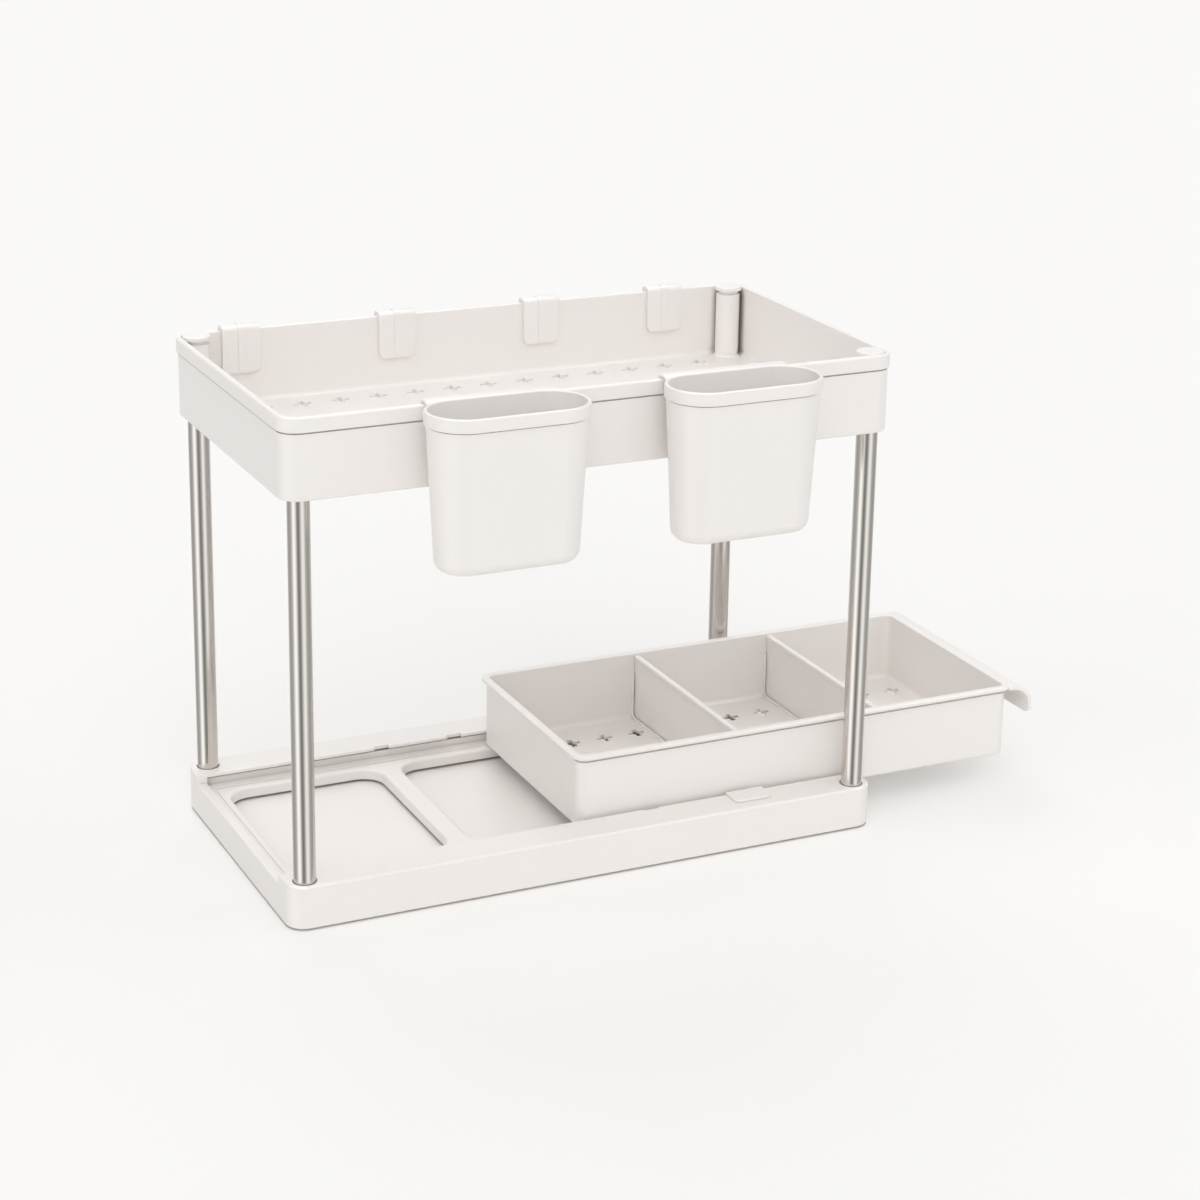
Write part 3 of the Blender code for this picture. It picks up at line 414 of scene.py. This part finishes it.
UNDER_TRAY, OVER_TRAY = 250, 330
HOLE_SPAN, HOLE_ARM, HOLE_FLARE, FLARE_DEEP = 11.2, 3.3, 0.25, 0.3
HOLE_MIDDLE, HOLE_PITCH, HOLE_ROW_PITCH = 6, 25.1, 41
TRAY_PLASTIC = moulded_plastic("tray_plastic", *PALE_CREAM)


def plus_tool(places, bottom, top):
    """Plus-shaped cutters, one for each place, whose mouth flares a little."""
    tool = bmesh.new()
    loops = []
    for height, grow in ((bottom, 0), (top - FLARE_DEEP, 0), (top, HOLE_FLARE),
                         (top + 3, HOLE_FLARE)):
        a, b = HOLE_ARM / 2 + grow, HOLE_SPAN / 2 + grow
        corners = [(a, a), (a, b), (-a, b), (-a, a), (-b, a), (-b, -a),
                   (-a, -a), (-a, -b), (a, -b), (a, -a), (b, -a), (b, a)]
        verts = [tool.verts.new((x, y, height)) for x, y in corners]
        loops.append([tool.edges.new(pair) for pair in zip(verts, verts[1:] + verts[:1])])
    for lower, upper in zip(loops, loops[1:]):
        bmesh.ops.bridge_loops(tool, edges=lower + upper)
    for loop in (loops[0], loops[-1]):
        bmesh.ops.contextual_create(tool, geom=loop)
    bmesh.ops.recalc_face_normals(tool, faces=tool.faces)
    first = tool.faces[:] + tool.edges[:] + tool.verts[:]
    for x, y in places[1:]:
        copy = bmesh.ops.duplicate(tool, geom=first)["geom"]
        moved = [v for v in copy if isinstance(v, bmesh.types.BMVert)]
        bmesh.ops.translate(tool, vec=(x - places[0][0], y - places[0][1], 0), verts=moved)
    bmesh.ops.translate(tool, vec=(*places[0], 0), verts=tool.verts)
    return tool


band_foot = TRAY_TOP - BAND_HIGH
tray = moulding(BASE_LONG, BASE_WIDE, BASE_CORNER,
                arc(TRAY_FOOT_EDGE, TRAY_BOTTOM + TRAY_FOOT_EDGE, TRAY_FOOT_EDGE, 270, 180)
                + [(0, band_foot - BAND_LINE_HIGH - LINE_CHAMFER),
                   (BAND_LINE_DEEP, band_foot - BAND_LINE_HIGH), (BAND_LINE_DEEP, band_foot)]
                + arc(BAND_EDGE - BAND_PROUD, band_foot + BAND_EDGE, BAND_EDGE, 270, 180, 2)
                + arc(RIM_OUTER_EDGE - BAND_PROUD, TRAY_TOP - RIM_OUTER_EDGE, RIM_OUTER_EDGE,
                      180, 90, 6)
                + arc(TRAY_WALL - RIM_INNER_EDGE, TRAY_TOP - RIM_INNER_EDGE, RIM_INNER_EDGE, 90, 0)
                + arc(TRAY_WALL + TRAY_FILLET, TRAY_FLOOR + TRAY_FILLET, TRAY_FILLET, 180, 270))
posts, bores, cap_seats = [], [], []
for label, spot in zip(POLE_NAMES, POLE_SPOTS):
    top = POST_TOPS[label]
    posts.append(moulding(2 * POST_RADIUS, 2 * POST_RADIUS, POST_RADIUS,
                          [(POST_FLARE[0][0], TRAY_BOTTOM + 1)]
                          + [(inset, TRAY_FLOOR + rise) for inset, rise in POST_FLARE]
                          + [(0, top - NECK_HIGH - NECK_CHAMFER), (POST_NECK, top - NECK_HIGH),
                             (POST_NECK, top)], spot))
    bores.append(rod(spot, POLE_RADIUS + PRESS_GAP, UNDER_TRAY, top - POST_HEAD))
    cap_seats.append(rod(spot, CAP_RADIUS + PRESS_GAP, top, OVER_TRAY))
tray = carve(tray, gather(posts), "UNION")
tray = carve(tray, gather(bores))
tray = carve(tray, gather(cap_seats))
tray_holes = [(HOLE_MIDDLE + HOLE_PITCH * column, HOLE_ROW_PITCH * row)
              for column in range(-6, 7) for row in range(-2, 3)]
tray = carve(tray, plus_tool(tray_holes, TRAY_BOTTOM - 3, TRAY_FLOOR))
tray_piece = to_metres("moulded_tray", tray, TRAY_PLASTIC)
even_shading(tray_piece)
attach(tray_piece, "stand")
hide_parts("upper_tray")


# Round plastic caps close the tray's corner posts. Each has a softly rounded edge, a slightly
# raised middle, and underneath a short stem that presses into the post.
CAP_HIGH, CAP_CROWN, CAP_CROWN_RISE = 2.6, 4.5, 0.1
CAP_FOOT_EDGE, CAP_EDGE = 0.2, 0.8
STEM_INSET, STEM_LONG = 3.9, 9
for label, spot in zip(POLE_NAMES, POLE_SPOTS):
    foot = POST_TOPS[label] + PRESS_GAP
    cap = moulding(2 * CAP_RADIUS, 2 * CAP_RADIUS, CAP_RADIUS,
                   [(STEM_INSET, foot - STEM_LONG), (STEM_INSET, foot)]
                   + arc(CAP_FOOT_EDGE, foot + CAP_FOOT_EDGE, CAP_FOOT_EDGE, 270, 180, 2)
                   + arc(CAP_EDGE, foot + CAP_HIGH - CAP_EDGE, CAP_EDGE, 180, 90)
                   + [(CAP_CROWN, foot + CAP_HIGH + CAP_CROWN_RISE)], spot)
    cap_piece = to_metres("post_cap_" + label, cap, TRAY_PLASTIC)
    even_shading(cap_piece)
    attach(cap_piece, "stand")
    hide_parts("cap_" + label)


# Two oval cups hang on the near rim. Each is a thin tapered moulding with a proud band round
# its mouth, and a bent hanger of the same plastic that reaches over the tray's rim.
CUP_CENTRES, CUP_SIDE = (-71.487, 77.493), -128.7
CUP_LONG, CUP_WIDE = 98.5, 46
CUP_TOP, CUP_BOTTOM = 313.3, 219.3
CUP_WALL, CUP_FLOOR = 2.4, 2.5
CUP_FOOT_INSET, CUP_FOOT_ROUND, CUP_HOLLOW_ROUND = 12.5, 7, 4.8
CUP_BAND_HIGH, CUP_BAND_PROUD, CUP_BAND_EDGE = 8.0, 1.3, 0.4
CUP_LINE_INSET, CUP_LINE_HIGH, CUP_LINE_CHAMFER = 1.75, 0.4, 0.3
CUP_OUTER_EDGE, CUP_INNER_EDGE = 1.3, 1.0
HANGER_OUTER, HANGER_INNER, HANGER_CREST = -107.0, -98.7, 312.25
HANGER_START, HANGER_END = 302.5, 293.3
HANGER_HALF, HANGER_BEND, HANGER_PLATE, HANGER_EDGE = 40.5, 1.6, 2.0, 0.6
CUP_PLASTIC = moulded_plastic("cup_plastic", *PALE_CREAM)


def strap(stations):
    """A thin sheet along stations of (middle, direction across, half width)."""
    sheet = bmesh.new()
    rows = len(stations) - 1
    bmesh.ops.create_grid(sheet, x_segments=1, y_segments=rows, size=1)
    for vert in sheet.verts:
        middle, across, half = stations[round((vert.co.y + 1) / 2 * rows)]
        vert.co = Vector(middle) + Vector(across) * math.copysign(half, vert.co.x)
    return sheet


def bend(corners, radius, steps=5):
    """A path of (x, y) through corners, each turned at one radius."""
    path = [Vector(corners[0])]
    for before, corner, after in zip(corners, corners[1:], corners[2:]):
        corner = Vector(corner)
        back = (Vector(before) - corner).normalized()
        ahead = (Vector(after) - corner).normalized()
        half = back.angle(ahead) / 2
        middle = corner + (back + ahead).normalized() * radius / math.sin(half)
        start = corner + back * radius / math.tan(half) - middle
        end = corner + ahead * radius / math.tan(half) - middle
        for step in range(steps + 1):
            share = step / steps
            path.append(middle + (start * (1 - share) + end * share).normalized() * radius)
    path.append(Vector(corners[-1]))
    return path


def plate(piece, thick, edge):
    """Give a sheet its thickness, half on each side, and soft edges."""
    solid = piece.modifiers.new("thickness", "SOLIDIFY")
    solid.thickness = thick / 1000
    solid.offset = 0
    solid.use_even_offset = True
    soft = piece.modifiers.new("soft_edges", "BEVEL")
    soft.width = edge / 1000
    soft.segments = 3
    soft.limit_method = "ANGLE"
    soft.angle_limit = math.radians(50)


for number, place in enumerate(CUP_CENTRES, 1):
    band_foot = CUP_TOP - CUP_BAND_HIGH
    cup = moulding(CUP_LONG, CUP_WIDE, CUP_WIDE / 2,
                   arc(CUP_FOOT_INSET, CUP_BOTTOM + CUP_FOOT_ROUND, CUP_FOOT_ROUND, 270, 180, 7)
                   + [(CUP_BAND_PROUD, band_foot - CUP_LINE_HIGH - CUP_LINE_CHAMFER),
                      (CUP_LINE_INSET, band_foot - CUP_LINE_HIGH), (CUP_LINE_INSET, band_foot)]
                   + arc(CUP_BAND_EDGE, band_foot + CUP_BAND_EDGE, CUP_BAND_EDGE, 270, 180, 2)
                   + arc(CUP_OUTER_EDGE, CUP_TOP - CUP_OUTER_EDGE, CUP_OUTER_EDGE, 180, 90, 5)
                   + arc(CUP_WALL - CUP_INNER_EDGE, CUP_TOP - CUP_INNER_EDGE, CUP_INNER_EDGE, 90, 0)
                   + arc(CUP_FOOT_INSET, CUP_BOTTOM + CUP_FLOOR + CUP_HOLLOW_ROUND,
                         CUP_HOLLOW_ROUND, 180, 270, 6), (place, CUP_SIDE))
    cup_piece = to_metres("oval_cup_%d" % number, cup, CUP_PLASTIC)
    even_shading(cup_piece)
    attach(cup_piece, "cup_%d" % number)
    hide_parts("hanging_cup_%d" % number)

    path = bend([(HANGER_OUTER, HANGER_START), (HANGER_OUTER, HANGER_CREST),
                 (HANGER_INNER, HANGER_CREST), (HANGER_INNER, HANGER_END)], HANGER_BEND)
    hanger = strap([((place, p.x, p.y), (1, 0, 0), HANGER_HALF) for p in path])
    hanger_piece = to_metres("cup_hanger_%d" % number, hanger, CUP_PLASTIC)
    plate(hanger_piece, HANGER_PLATE, HANGER_EDGE)
    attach(hanger_piece, "cup_%d" % number)


# Four hooks slip over the far rim. Each is a flat moulded strap: a plate with a raised centre
# line lies against the tray's inside, and outside the strap narrows to a curled arm.
HOOK_PLACES = (-153.0, -50.0, 49.5, 138.5)
HOOK_INNER, HOOK_OUTER, HOOK_CREST = 98.5, 105.9, 312.4
HOOK_FOOT, HOOK_HALF, HOOK_CORNER = 283.5, 12.25, 5.0
RIDGE_SHIFT, RIDGE_FOOT, RIDGE_HALF, RIDGE_CORNER = -0.4, 285, 2.1, 1.6
HOOK_BEND, HOOK_PLATE, HOOK_EDGE = 1.8, 2.4, 0.9
ARM_LEVELS, ARM_HALVES = (292.2, 287.2, 282.2), (HOOK_HALF, 8.5, 6)
CURL_LEVEL, CURL_RADIUS, CURL_HALF = 270.5, 7.5, 6
TIP_LEVELS, TIP_HALVES = (277.0, 278.5), (CURL_HALF, 5)


def hook_plate(place, shift, foot, half, corner):
    """Stations up the tray's inside from a rounded foot, over the rim and down the outside."""
    inner, crest = HOOK_INNER + shift, HOOK_CREST - shift
    run = [((place, inner, foot + corner * (1 - math.cos(a))), (1, 0, 0),
            half - corner * (1 - math.sin(a))) for a in [math.pi / 14 * (s + 1) for s in range(7)]]
    path = bend([(inner, foot + corner), (inner, crest), (HOOK_OUTER, crest),
                 (HOOK_OUTER, CURL_LEVEL)], HOOK_BEND)
    return run + [((place, p.x, p.y), (1, 0, 0), half) for p in path[1:-1]]


def hook_arm(place):
    """Stations of the arm outside, which narrows and then curls outwards and up."""
    run = [((place, HOOK_OUTER, level), (1, 0, 0), half)
           for level, half in zip(ARM_LEVELS, ARM_HALVES)]
    run += [((place, HOOK_OUTER + CURL_RADIUS * (1 - math.cos(a)),
              CURL_LEVEL - CURL_RADIUS * math.sin(a)), (1, 0, 0), CURL_HALF)
            for a in [math.pi * step / 14 for step in range(15)]]
    return run + [((place, HOOK_OUTER + 2 * CURL_RADIUS, level), (1, 0, 0), half)
                  for level, half in zip(TIP_LEVELS, TIP_HALVES)]


for number, place in enumerate(HOOK_PLACES, 1):
    body = strap(hook_plate(place, 0, HOOK_FOOT, HOOK_HALF, HOOK_CORNER) + hook_arm(place))
    ridge = strap(hook_plate(place, RIDGE_SHIFT, RIDGE_FOOT, RIDGE_HALF, RIDGE_CORNER))
    hook = to_metres("rim_hook_strap_%d" % number, gather([body, ridge]), TRAY_PLASTIC)
    plate(hook, HOOK_PLATE, HOOK_EDGE)
    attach(hook, "hook_%d" % number)
    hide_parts("rim_hook_%d" % number)


# The drawer is a long open box with a thin flanged rim. Its right end carries a curled handle
# lip, pairs of thin ribs inside hold the dividers, and side tabs run under the rails' lips.
DRAWER_LEFT, DRAWER_RIGHT, DRAWER_SIDE = 0.5, 310.5, 75.4
DRAWER_FOOT, DRAWER_TOP, DRAWER_FLOOR = 20.4, 68.6, 22.6
DRAWER_WALL, DRAWER_CORNER, DRAWER_FOOT_EDGE, DRAWER_FILLET = 2.2, 6.5, 2.0, 3.5
FLANGE_OUT, FLANGE_ROUND, DRAWER_RIM_EDGE = 2.1, 1.3, 0.9
FLANGE_LINE_DEEP, FLANGE_LINE_LOW, FLANGE_LINE_TOP = 0.7, 4.5, 2.8
DIVIDER_LINES = (110.86, 211.92)
TAB_PLACES, TAB_HALF, TAB_EDGE = (12.5, 63.5), 4.5, 0.5
TAB_ROOT, TAB_REACH, TAB_LOW, TAB_TOP = 75, 80.5, 20.8, 24.0
DRAIN_GROUPS, DRAIN_PITCH = (64.05, 158.6, 261.52), 23.65
DRAIN_ROW_PITCH, DRAIN_CLEARANCE = 47.5, 8.7
HANDLE_HALF, HANDLE_CORNER, HANDLE_UNDER_RIM = 78.4, 5, 1.4
HANDLE_START, HANDLE_CURL, HANDLE_DROP = 2.8, 13, 14.5
HANDLE_PLATE, HANDLE_EDGE = 2.4, 0.9
GUIDE_SPREAD, GUIDE_SIDE, GUIDE_FLOOR, GUIDE_TOP = 2.3, 72.6, 23.2, 54.6
GUIDE_BEND, GUIDE_HALF, GUIDE_PLATE, GUIDE_EDGE = 4.2, 0.7, 1.8, 0.4
# Painted light: the drawer's plastic is a slightly lighter copy of the same cream, lifted against
# the shade it sits in under the tray.
DRAWER_PLASTIC = moulded_plastic("drawer_plastic_lightened", (0.878, 0.846, 0.820), (0.866, 0.833, 0.805))

drawer = moulding(DRAWER_RIGHT - DRAWER_LEFT, 2 * DRAWER_SIDE, DRAWER_CORNER,
                  arc(DRAWER_FOOT_EDGE, DRAWER_FOOT + DRAWER_FOOT_EDGE, DRAWER_FOOT_EDGE, 270, 180)
                  + [(0, DRAWER_TOP - FLANGE_LINE_LOW - LINE_CHAMFER),
                     (FLANGE_LINE_DEEP, DRAWER_TOP - FLANGE_LINE_LOW),
                     (FLANGE_LINE_DEEP, DRAWER_TOP - FLANGE_LINE_TOP)]
                  + arc(-FLANGE_OUT, DRAWER_TOP - FLANGE_ROUND, FLANGE_ROUND, 270, 90, 8)
                  + arc(DRAWER_WALL - DRAWER_RIM_EDGE, DRAWER_TOP - DRAWER_RIM_EDGE,
                        DRAWER_RIM_EDGE, 90, 0)
                  + arc(DRAWER_WALL + DRAWER_FILLET, DRAWER_FLOOR + DRAWER_FILLET, DRAWER_FILLET,
                        180, 270, 6),
                  ((DRAWER_LEFT + DRAWER_RIGHT) / 2, 0))
tabs = [block((x - TAB_HALF, low, TAB_LOW), (x + TAB_HALF, high, TAB_TOP), TAB_EDGE)
        for x in TAB_PLACES for low, high in ((-TAB_REACH, -TAB_ROOT), (TAB_ROOT, TAB_REACH))]
drawer = carve(drawer, gather(tabs), "UNION")
columns = [x + DRAIN_PITCH * (step - 1.5) for x in DRAIN_GROUPS for step in range(4)]
drains = [(x, DRAIN_ROW_PITCH * row) for x in columns for row in (-1, 0, 1)
          if all(abs(x - line) > DRAIN_CLEARANCE for line in DIVIDER_LINES)]
drawer = carve(drawer, plus_tool(drains, DRAWER_FOOT - 3, DRAWER_FLOOR))
drawer_piece = to_metres("drawer_box", drawer, DRAWER_PLASTIC)
even_shading(drawer_piece)
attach(drawer_piece, "drawer_box")
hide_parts("drawer")

curl_top = DRAWER_TOP - HANDLE_UNDER_RIM
curl_start = DRAWER_RIGHT + HANDLE_START
stations = [((DRAWER_RIGHT - 1, 0, curl_top), (0, 1, 0), HANDLE_HALF)]
stations += [((curl_start + HANDLE_CURL * math.sin(a), 0,
               curl_top - HANDLE_CURL * (1 - math.cos(a))), (0, 1, 0), HANDLE_HALF)
             for a in [math.pi / 20 * step for step in range(11)]]
stations += [((curl_start + HANDLE_CURL, 0, curl_top - HANDLE_DROP - HANDLE_CORNER * math.sin(a)),
              (0, 1, 0), HANDLE_HALF - HANDLE_CORNER * (1 - math.cos(a)))
             for a in [math.pi / 14 * step for step in range(8)]]
lip = to_metres("handle_lip", strap(stations), DRAWER_PLASTIC)
plate(lip, HANDLE_PLATE, HANDLE_EDGE)
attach(lip, "drawer_box")

path = bend([(GUIDE_SIDE, GUIDE_TOP), (GUIDE_SIDE, GUIDE_FLOOR),
             (-GUIDE_SIDE, GUIDE_FLOOR), (-GUIDE_SIDE, GUIDE_TOP)], GUIDE_BEND, 8)
ribs = [strap([((x, p.x, p.y), (1, 0, 0), GUIDE_HALF) for p in path])
        for line in DIVIDER_LINES for x in (line - GUIDE_SPREAD, line + GUIDE_SPREAD)]
guides = to_metres("divider_guides", gather(ribs), DRAWER_PLASTIC)
plate(guides, GUIDE_PLATE, GUIDE_EDGE)
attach(guides, "drawer_box")


# Two loose dividers stand in the drawer's guides. Each is a flat moulded plate with rounded
# low corners and a thicker bead along its top edge.
LEAF_HALF, LEAF_SIDE, LEAF_FOOT, LEAF_TOP, LEAF_CORNER = 1, 72.9, 22.9, 66, 4.5
BEAD_HALF, BEAD_SIDE, BEAD_LOW, BEAD_TOP, BEAD_EDGE = 2, 72.3, 64.0, 67.6, 1.1
for number, line in enumerate(DIVIDER_LINES, 1):
    leaf = block((line - LEAF_HALF, -LEAF_SIDE, LEAF_FOOT), (line + LEAF_HALF, LEAF_SIDE, LEAF_TOP))
    low_edges = [e for e in leaf.edges if all(v.co.z < LEAF_FOOT + 0.1 for v in e.verts)
                 and abs(e.verts[0].co.x - e.verts[1].co.x) > LEAF_HALF]
    round_edges(leaf, low_edges, LEAF_CORNER, 6)
    bead = block((line - BEAD_HALF, -BEAD_SIDE, BEAD_LOW), (line + BEAD_HALF, BEAD_SIDE, BEAD_TOP),
                 BEAD_EDGE)
    divider = to_metres("divider_%d" % number, carve(leaf, bead, "UNION"), DRAWER_PLASTIC)
    even_shading(divider)
    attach(divider, "divider_%d" % number)
    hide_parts("drawer_divider_%d" % number)


# A small flat tab of the same plastic lies on the near rail. A thin tongue clips it over the
# rail's lip, and its face is left bare.
BADGE_LEFT, BADGE_RIGHT, BADGE_OUTER, BADGE_INNER = 100.74, 126.24, -93.7, -78.2
BADGE_LOW, BADGE_TOP, BADGE_CORNER, BADGE_EDGE = 28.3, 29.5, 3.5, 0.5
TONGUE_LOW, TONGUE_HIGH, TONGUE_EDGE = (101, -79.1, 25.5), (126, -78.25, 29.0), 0.2
badge = block((BADGE_LEFT, BADGE_OUTER, BADGE_LOW), (BADGE_RIGHT, BADGE_INNER, BADGE_TOP))
outer_corners = [e for e in badge.edges if abs(e.verts[0].co.z - e.verts[1].co.z) > 1
                 and e.verts[0].co.y < BADGE_OUTER + 1]
round_edges(badge, outer_corners, BADGE_CORNER, 6)
round_edges(badge, [e for e in badge.edges if all(v.co.z > BADGE_TOP - 0.1 for v in e.verts)],
            BADGE_EDGE)
badge = gather([badge, block(TONGUE_LOW, TONGUE_HIGH, TONGUE_EDGE)])
badge_piece = to_metres("blank_tab", badge, BASE_PLASTIC)
even_shading(badge_piece)
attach(badge_piece, "stand")
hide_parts("blank_badge")


# A pale floor that runs on into a backdrop of the same colour. It is clear to reflections, which
# see the room instead, and from below, so that the stand's underside can be looked at.
BACKDROP = (0.925, 0.916, 0.900, 1)
FLOOR_PAINT = (0.975, 0.967, 0.952, 1)
PALE_SHARE = 0.32
FLOOR_RADIUS, FLOOR_DROP = 14000, 0.15
paint = Finish(bpy.data.materials.new("pale_floor"))
seen = paint.node("ShaderNodeLightPath", output="Is Camera Ray")
unseen = paint.node("ShaderNodeMath", {"operation": "MAXIMUM"},
                    {0: paint.node("ShaderNodeNewGeometry", output="Backfacing"),
                     1: paint.node("ShaderNodeLightPath", output="Is Glossy Ray")})
lit = paint.node("ShaderNodeBsdfDiffuse", {}, {"Color": FLOOR_PAINT})
even = paint.node("ShaderNodeEmission", {}, {"Color": BACKDROP})
face = paint.node("ShaderNodeMixShader", {}, {0: seen * PALE_SHARE, 1: lit, 2: even})
clear = paint.node("ShaderNodeBsdfTransparent")
coat = paint.node("ShaderNodeMixShader", {}, {0: unseen, 1: face, 2: clear})
paint.node("ShaderNodeOutputMaterial", {}, {"Surface": coat})
ground = bmesh.new()
bmesh.ops.create_circle(ground, cap_ends=True, segments=96, radius=FLOOR_RADIUS)
bmesh.ops.translate(ground, vec=(0, 0, -FLOOR_DROP), verts=ground.verts)
to_metres("studio_floor", ground, paint.owner)


# Soft studio light: an even pale room and five broad lamps. Steel and rounded edges also show
# the room's light ceiling, its pale back wall, and two tall bright panels beside a dim front.
CAMERA_TURN = math.radians(-25.38)
ROOM_LIGHT = (0.50, 0.50, 0.50, 1)
PANELS = ((0.0, 0.54), (0.08, 0.54), (0.20, 0.28), (0.30, 0.42), (0.36, 1.0), (0.40, 1.0),
          (0.47, 0.24), (0.50, 0.12), (0.54, 0.28), (0.60, 0.84), (0.645, 0.84), (0.70, 0.38),
          (0.80, 0.28), (0.92, 0.54), (1.0, 0.54))
PANEL_LIGHT, CEILING_LIGHT = 1.5, 5.6
CEILING_START, CEILING_FULL = 0.75, 0.9
LAMPS = (("front_lamp", 0.60, 45, (-0.20, -0.60, 0.77)),
         ("low_front_lamp", 0.36, 45, (-0.35, -0.90, 0.30)),
         ("left_lamp", 0.40, 45, (-0.85, -0.10, 0.52)),
         ("right_lamp", 0.57, 60, (0.75, -0.20, 0.62)),
         ("back_lamp", 0.62, 45, (0.10, 0.70, 0.70)))
room = Finish(bpy.data.worlds.new("studio"))
bpy.context.scene.world = room.owner
toward = room.node("ShaderNodeTexCoord", output="Generated")
ahead, aside, above = (
    room.node("ShaderNodeVectorMath", {"operation": "DOT_PRODUCT"}, {0: toward, 1: axis}, "Value")
    for axis in ((math.sin(CAMERA_TURN), -math.cos(CAMERA_TURN), 0),
                 (math.cos(CAMERA_TURN), math.sin(CAMERA_TURN), 0), (0, 0, 1)))
turn = room.node("ShaderNodeMath", {"operation": "ARCTAN2"}, {0: aside, 1: ahead})
panels = room.node("ShaderNodeValToRGB", {"stops": PANELS}, {0: turn * (0.5 / math.pi) + 0.5})
ceiling = room.node("ShaderNodeMapRange", {"interpolation_type": "SMOOTHSTEP"},
                    {"Value": above, "From Min": CEILING_START, "From Max": CEILING_FULL,
                     "To Max": CEILING_LIGHT})
plain = room.between(room.node("ShaderNodeLightPath", output="Is Camera Ray"),
                     ROOM_LIGHT, BACKDROP)
shown = room.between(room.node("ShaderNodeLightPath", output="Is Glossy Ray"), plain,
                     panels * PANEL_LIGHT + ceiling)
around = room.node("ShaderNodeBackground", {}, {"Color": shown})
room.node("ShaderNodeOutputWorld", {}, {"Surface": around})

for name, energy, spread, direction in LAMPS:
    lamp = bpy.data.lights.new(name, "SUN")
    lamp.energy = energy
    lamp.angle = math.radians(spread)
    holder = bpy.data.objects.new(name, lamp)
    bpy.context.scene.collection.objects.link(holder)
    holder.rotation_euler = Vector(direction).to_track_quat("Z", "Y").to_euler()


# The camera looks slightly down on the near left corner, as in the photograph. Its place is
# given from a point over the middle of the base, along its own right, up and back.
CAMERA_TILT, CAMERA_ROLL = math.radians(17.06), math.radians(0.93)
CAMERA_MIDDLE, CAMERA_RIGHT, CAMERA_UP, CAMERA_BACK = 0.150, 0.04368, 0.07098, 1.73804
CAMERA_LENS, CAMERA_SHIFT = 83.363, -0.1
level = Vector((math.cos(CAMERA_TURN), math.sin(CAMERA_TURN), 0))
back = Vector((level.y, -level.x, 0)) * math.cos(CAMERA_TILT)
back += Vector((0, 0, math.sin(CAMERA_TILT)))
upright = back.cross(level)
right = level * math.cos(CAMERA_ROLL) + upright * math.sin(CAMERA_ROLL)
up = upright * math.cos(CAMERA_ROLL) - level * math.sin(CAMERA_ROLL)
place = Vector((0, 0, CAMERA_MIDDLE)) + right * CAMERA_RIGHT + up * CAMERA_UP + back * CAMERA_BACK
camera = bpy.data.cameras.new("camera")
camera.lens = CAMERA_LENS
camera.shift_y = CAMERA_SHIFT
camera.clip_start, camera.clip_end = 0.05, 60
eye = bpy.data.objects.new("camera", camera)
bpy.context.scene.collection.objects.link(eye)
eye.matrix_world = Matrix.Translation(place) @ Matrix((right, up, back)).transposed().to_4x4()
bpy.context.scene.camera = eye
bpy.context.scene.view_settings.view_transform = "Standard"
